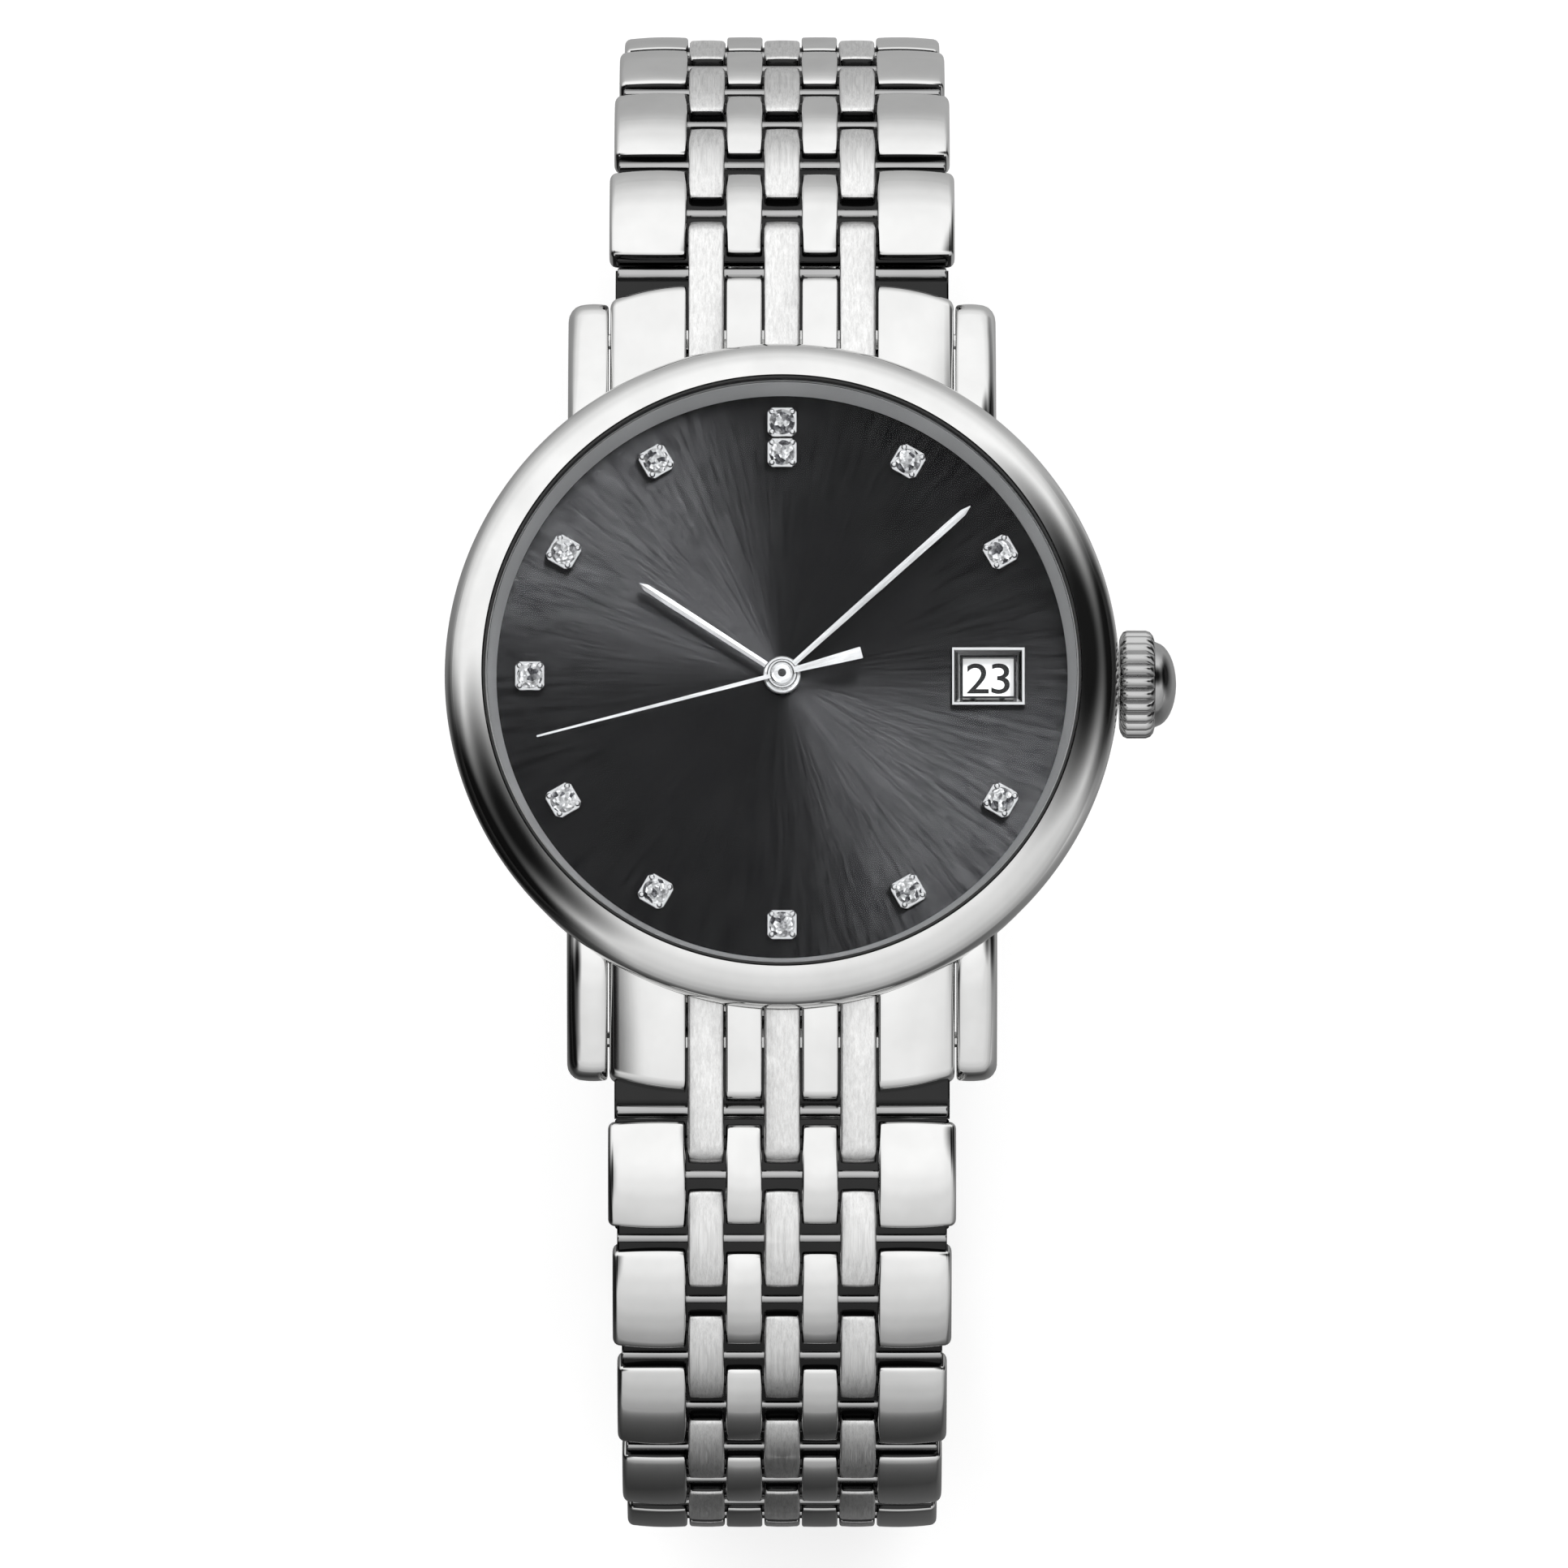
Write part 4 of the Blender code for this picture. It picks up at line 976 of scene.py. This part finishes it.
def movement_trim():
    """Ruby bearings in gilt cups and slotted screws, on the face of the bridge that the back window shows."""
    face = box_mm("automatic_bridge")[0].z
    sunk = face + 0.05
    cup = [(0.42, sunk), (0.7, sunk), (0.7, face - 0.05), (0.62, face - 0.07), (0.42, face - 0.02)]
    ruby = [(0.12, face - 0.01), (0.42, face - 0.01), (0.42, sunk), (0.12, sunk)]
    jewels = bmesh.new()
    for x, y in ((3.4, 3.2), (-1.5, 4.6), (6.6, -2.4), (-7.8, 1.2), (7.2, 4.9)):
        verts = turned(jewels, eased(cup, 0.02), SMALL) + turned(jewels, eased(ruby, 0.02), SMALL, 1)
        move(verts, Matrix.Translation((x, y, 0)))
    piece("movement_jewels", jewels, [GILT, JEWEL], "case", sharp=30)

    head = [(0, sunk, 0), (0.62, sunk), (0.62, face - 0.08), (0.52, face - 0.14), (0, face - 0.14, 0)]
    screws = bmesh.new()
    for x, y in ((5.2, 7.6), (-5.4, 9.2), (9.9, -1.2), (-9.6, 4.4), (3.6, -10.2)):
        verts = turned(screws, eased(head, 0.03), SMALL)
        # The slot is a thin black strip on the head, painted shade for a groove that is not cut.
        verts += slab(screws, rectangle(0.5, 0.07), face - 0.145, face - 0.12, 0.005, 1)
        move(verts, Matrix.Translation((x, y, 0)) @ Matrix.Rotation(x + y, 4, "Z"))
    piece("movement_screws", screws, [CASE_STEEL, RUBBER], "case", sharp=30)


def rotor_weight():
    """The half disc with its heavy bevelled rim, three fine grooves and its ball bearing."""
    low, high = box_mm("rotor")
    radius, web = high.x, low.z + 0.1

    def band(outer, inner, margin):
        """The outline of half a ring that stops margin degrees short of the straight edge."""
        start, end = 180 + margin, 360 - margin
        return [*arc((0, 0), outer, start, end, 64), *arc((0, 0), inner, end, start, 64)]

    bm = bmesh.new()
    half_disc = [*arc((0, 0), radius, 180, 360, 64), Vector((1.4, 0.9)), Vector((-1.4, 0.9))]
    slab(bm, half_disc, web, web + 0.4, 0.06)
    slab(bm, band(radius, radius - 1.5, 1), web + 0.2, web + 1.1, 0.1)
    for inset in (0.35, 1.3, 1.65):
        slab(bm, band(radius - inset, radius - inset - 0.1, 4), web - 0.03, web + 0.05, 0.02)
    bearing = [
        (0, low.z), (0.7, low.z), (0.78, low.z + 0.06), (1.1, low.z + 0.06), (1.18, low.z), (1.9, low.z),
        (2.0, low.z + 0.1), (2.0, high.z), (0, high.z),
    ]
    turned(bm, bearing, 64, 1)
    balls = 7
    for k in range(balls):
        ball = turned(bm, [(0, low.z - 0.01), (0.1, low.z), (0.12, low.z + 0.05), (0, low.z + 0.08)], 16, 1)
        move(ball, Matrix.Translation(polar(0.94, 360 * k / balls)))
    piece("rotor_weight", bm, [STRIPED, GILT], "rotor", ("rotor",), sharp=30)


def balance():
    """The balance wheel with the bar across it, its hub and its flat spiral spring."""
    low, high = box_mm("balance_wheel")
    middle = (low + high) / 2
    outer = (high.x - low.x) / 2
    bm = bmesh.new()
    turned(bm, eased([(outer - 0.55, 3.3), (outer, 3.3), (outer, 3.75), (outer - 0.55, 3.75)], 0.08), 96)
    slab(bm, rectangle(outer - 0.3, 0.22), 3.42, 3.62, 0.04)
    hub = [(0, 2.9, 0), (0.14, 2.9), (0.2, 3.2), (0.75, 3.25), (0.75, 3.7), (0.3, 3.8), (0.2, 4.6)]
    turned(bm, eased([*hub, (0, 4.6, 0)], 0.04), SMALL)
    turns, per_turn, inner_r, growth = 6, 36, 0.9, 1.9  # of the spring
    count = turns * per_turn
    coils = [polar(inner_r + growth * k / count, 360 * k / per_turn) for k in range(count + 1)]
    section = ((0.03, 3.12), (-0.03, 3.12), (-0.03, 3.24), (0.03, 3.24))
    for start, end in zip(coils, coils[1:]):
        outward = start.normalized()
        corners = [[point + outward * a + Vector((0, 0, z)) for a, z in section] for point in (start, end)]
        loft(bm, corners, material=1)
    matrix = Matrix.Translation(Vector((middle.x, middle.y, 0)) * MM)
    piece("balance_rim", bm, [GILT, CASE_STEEL], "balance_wheel", ("balance_wheel",), 30, matrix)


def finish_cad_nodes():
    """The finishes of the solids that show as they are."""
    finishes = {
        "dial": DIAL, "date_disc": DATE_WHITE, "movement_holder": NYLON, "main_plate": PLATE,
        "automatic_bridge": PLATE, "mainspring_barrel": GILT, "setting_lever": PLATE,
        "winding_stem": LINK_STEEL, "crown_tube": CASE_STEEL,
        "spring_bar_12": LINK_STEEL, "spring_bar_6": LINK_STEEL,
    }
    for node, material in finishes.items():
        mesh = frame["nodes"][node].data
        mesh.materials.clear()
        mesh.materials.append(material)


# ---- studio ----

DIAL_SIDE = ("date_disc", "date_rim", "marker_settings", "marker_stones", "hour_hand_blade",
             "minute_hand_blade", "seconds_hand_blade")

CAMERA_DISTANCE = 1000.0
CAMERA_ELEVATION = 80.0
CAMERA_AIM_BELOW = 5.48  # from the dial's centre to what the camera points at, down its picture
CAMERA_AIM_RIGHT = 0.1
FRAME_WIDTH = 80.2  # across the picture at the dial
SENSOR_WIDTH = 36.0
KEY_PLACE = (300, 380, 600)  # of the key light, and of the light on the markers and hands


def camera():
    data = bpy.data.cameras.new("camera")
    data.sensor_width = SENSOR_WIDTH
    data.lens = SENSOR_WIDTH * CAMERA_DISTANCE / FRAME_WIDTH
    obj = linked("camera", data)
    tilt = math.radians(CAMERA_ELEVATION)
    back = Vector((0, -math.cos(tilt), math.sin(tilt)))
    up = Vector((0, math.sin(tilt), math.cos(tilt)))
    dial_centre = Vector((0, 0, box_mm("dial")[1].z))
    aim = dial_centre - up * CAMERA_AIM_BELOW + Vector((CAMERA_AIM_RIGHT, 0, 0))
    obj.location = (aim + back * CAMERA_DISTANCE) * MM
    obj.rotation_euler = (-back).to_track_quat("-Z", "Y").to_euler()
    bpy.context.scene.camera = obj


# Levels of the tent by the sine of the elevation, over the far side and over the near side
FAR_LEVELS = ((0.0, 0.75), (0.26, 1.0), (0.5, 1.2), (0.85, 1.25), (1.0, 1.25))
NEAR_LEVELS = ((0.0, 0.45), (0.26, 0.62), (0.5, 0.78), (0.77, 0.92), (0.91, 1.1), (1.0, 1.25))
# Black cards round the tent: azimuth counted from +X to +Y, elevation and half angle, in degrees
BLACK_CARDS = ((14, 6, 21), (20, 45, 19), (202, 3, 27), (199, 44, 16))
CARD_EDGE = 12  # how far a card's soft edge reaches, in degrees


def cosine(degrees):
    return math.cos(math.radians(degrees))


def level_ramp(tree, value, levels):
    node = tree.add("ValToRGB", {"Fac": value})
    ramp = node.color_ramp
    ramp.interpolation = "EASE"
    while len(ramp.elements) < len(levels):
        ramp.elements.new(0.5)
    for element, (place, level) in zip(ramp.elements, levels):
        element.position = place
        element.color = (level, level, level, 1)
    return node.outputs["Color"]


def studio_world():
    """A soft white tent, bright overhead and behind 12 o'clock, dimmer in front, with black cards in it."""
    near_side, far_side = -0.25, 0.45  # the direction's Y where the one's levels end and the other's start
    tree = Tree("studio", world=True)
    bpy.context.scene.world = tree.owner
    direction = tree.add("TexCoord").outputs["Generated"]
    parts = tree.add("SeparateXYZ", {0: direction}).outputs
    share = tree.spread(parts["Y"], 0, 1, near_side, far_side, interpolation_type="SMOOTHSTEP")
    near, far = (level_ramp(tree, parts["Z"], levels) for levels in (NEAR_LEVELS, FAR_LEVELS))
    level = tree.tint(share, near, far)
    for azimuth, elevation, half_angle in BLACK_CARDS:
        turn = math.radians(elevation)
        towards = tree.vector("DOT_PRODUCT", direction, polar(math.cos(turn), azimuth, math.sin(turn)))
        shade = tree.spread(
            towards, 1.0, 0.01, cosine(half_angle + CARD_EDGE), cosine(half_angle - CARD_EDGE),
            interpolation_type="SMOOTHSTEP",
        )
        level = tree.add("VectorMath", {0: level, "Scale": shade}, operation="SCALE").outputs[0]
    tree.set(Color=level)


def soft_light(name, place, size, watts, only=(), mirrored=True):
    """A square soft box, in millimetres, turned to the watch. It can light only some of the pieces, and
    mirrored says whether polished metal shows it."""
    data = bpy.data.lights.new(name, "AREA")
    data.size = size * MM
    data.energy = watts
    obj = linked(name, data)
    obj.location = Vector(place) * MM
    obj.rotation_euler = (-Vector(place)).to_track_quat("-Z", "Y").to_euler()
    obj.visible_glossy = mirrored
    if only:
        group = bpy.data.collections.new(f"{name}_receivers")
        for receiver in only:
            group.objects.link(receiver)
        obj.light_linking.receiver_collection = group


def floor():
    """The pale table that the clasp rests on. What the metal shows of it darkens to its near and left sides,
    as if black cards stood just outside the picture."""
    bright_way = (0.45, 0.9, 0.0)  # towards the side that the metal shows bright
    close_by, far_off = 60.0, 400.0  # distances between which one range of levels turns into the other
    half, gap = 2.5, 0.0001  # half the table's width, and its distance below the watch, in metres
    tree = Tree("pale_floor")
    place = tree.place()
    pale = tree.tint(tree.spread(tree.noise(place, 0.02), 0, 1), (0.56,) * 3, (0.58,) * 3)
    tree.set(Base_Color=pale, Roughness=0.9, Emission_Color=(1, 1, 1, 1), Emission_Strength=0.62)
    along = tree.vector("DOT_PRODUCT", place, bright_way)
    close = tree.spread(along, 0.03, 0.5, -close_by, close_by)
    away = tree.spread(along, 0.42, 0.65, -close_by, close_by)
    level = tree.spread(tree.vector("LENGTH", place), close, away, close_by, far_off)
    outward = tree.vector("NORMALIZE", place)
    for azimuth, _, half_angle in BLACK_CARDS[::2]:
        towards = tree.vector("DOT_PRODUCT", outward, polar(1.0, azimuth))
        shade = tree.spread(
            towards, 1.0, 0.05, cosine(half_angle + CARD_EDGE), cosine(half_angle - CARD_EDGE / 2)
        )
        level = tree.math("MULTIPLY", level, shade)
    shown = tree.add("Emission", {"Color": (1, 1, 1, 1), "Strength": level}).outputs[0]
    glossy = tree.add("LightPath").outputs["Is Glossy Ray"]
    tree.surface(tree.add("MixShader", {0: glossy, 1: tree.shader.outputs[0], 2: shown}).outputs[0])
    bm = bmesh.new()
    low = CAD_BOX[0].z - gap
    bm.faces.new([bm.verts.new((*corner, low)) for corner in rectangle(half, half)])
    mesh = mesh_of("floor", bm)
    mesh.materials.append(tree.owner)
    linked("floor", mesh)


case_band()
bezel_ring()
glasses()
case_back()
crown_knob()
rehaut()
date_rim()
date_numerals()
marker_settings()
marker_stones()
hands()
end_links()
bracelet()
clasp()
movement_trim()
rotor_weight()
balance()
finish_cad_nodes()

camera()
studio_world()
soft_light("key_light", KEY_PLACE, 420, 0.9, mirrored=False)
soft_light("fill_light", (-420, -80, 520), 500, 0.45, mirrored=False)
soft_light("dial_light", (346, 554, 480), 540, 78.0, [frame["nodes"]["dial"]])
soft_light("marker_light", KEY_PLACE, 260, 5.0, [bpy.data.objects[name] for name in DIAL_SIDE])
floor()
bpy.context.scene.view_settings.view_transform = "Standard"
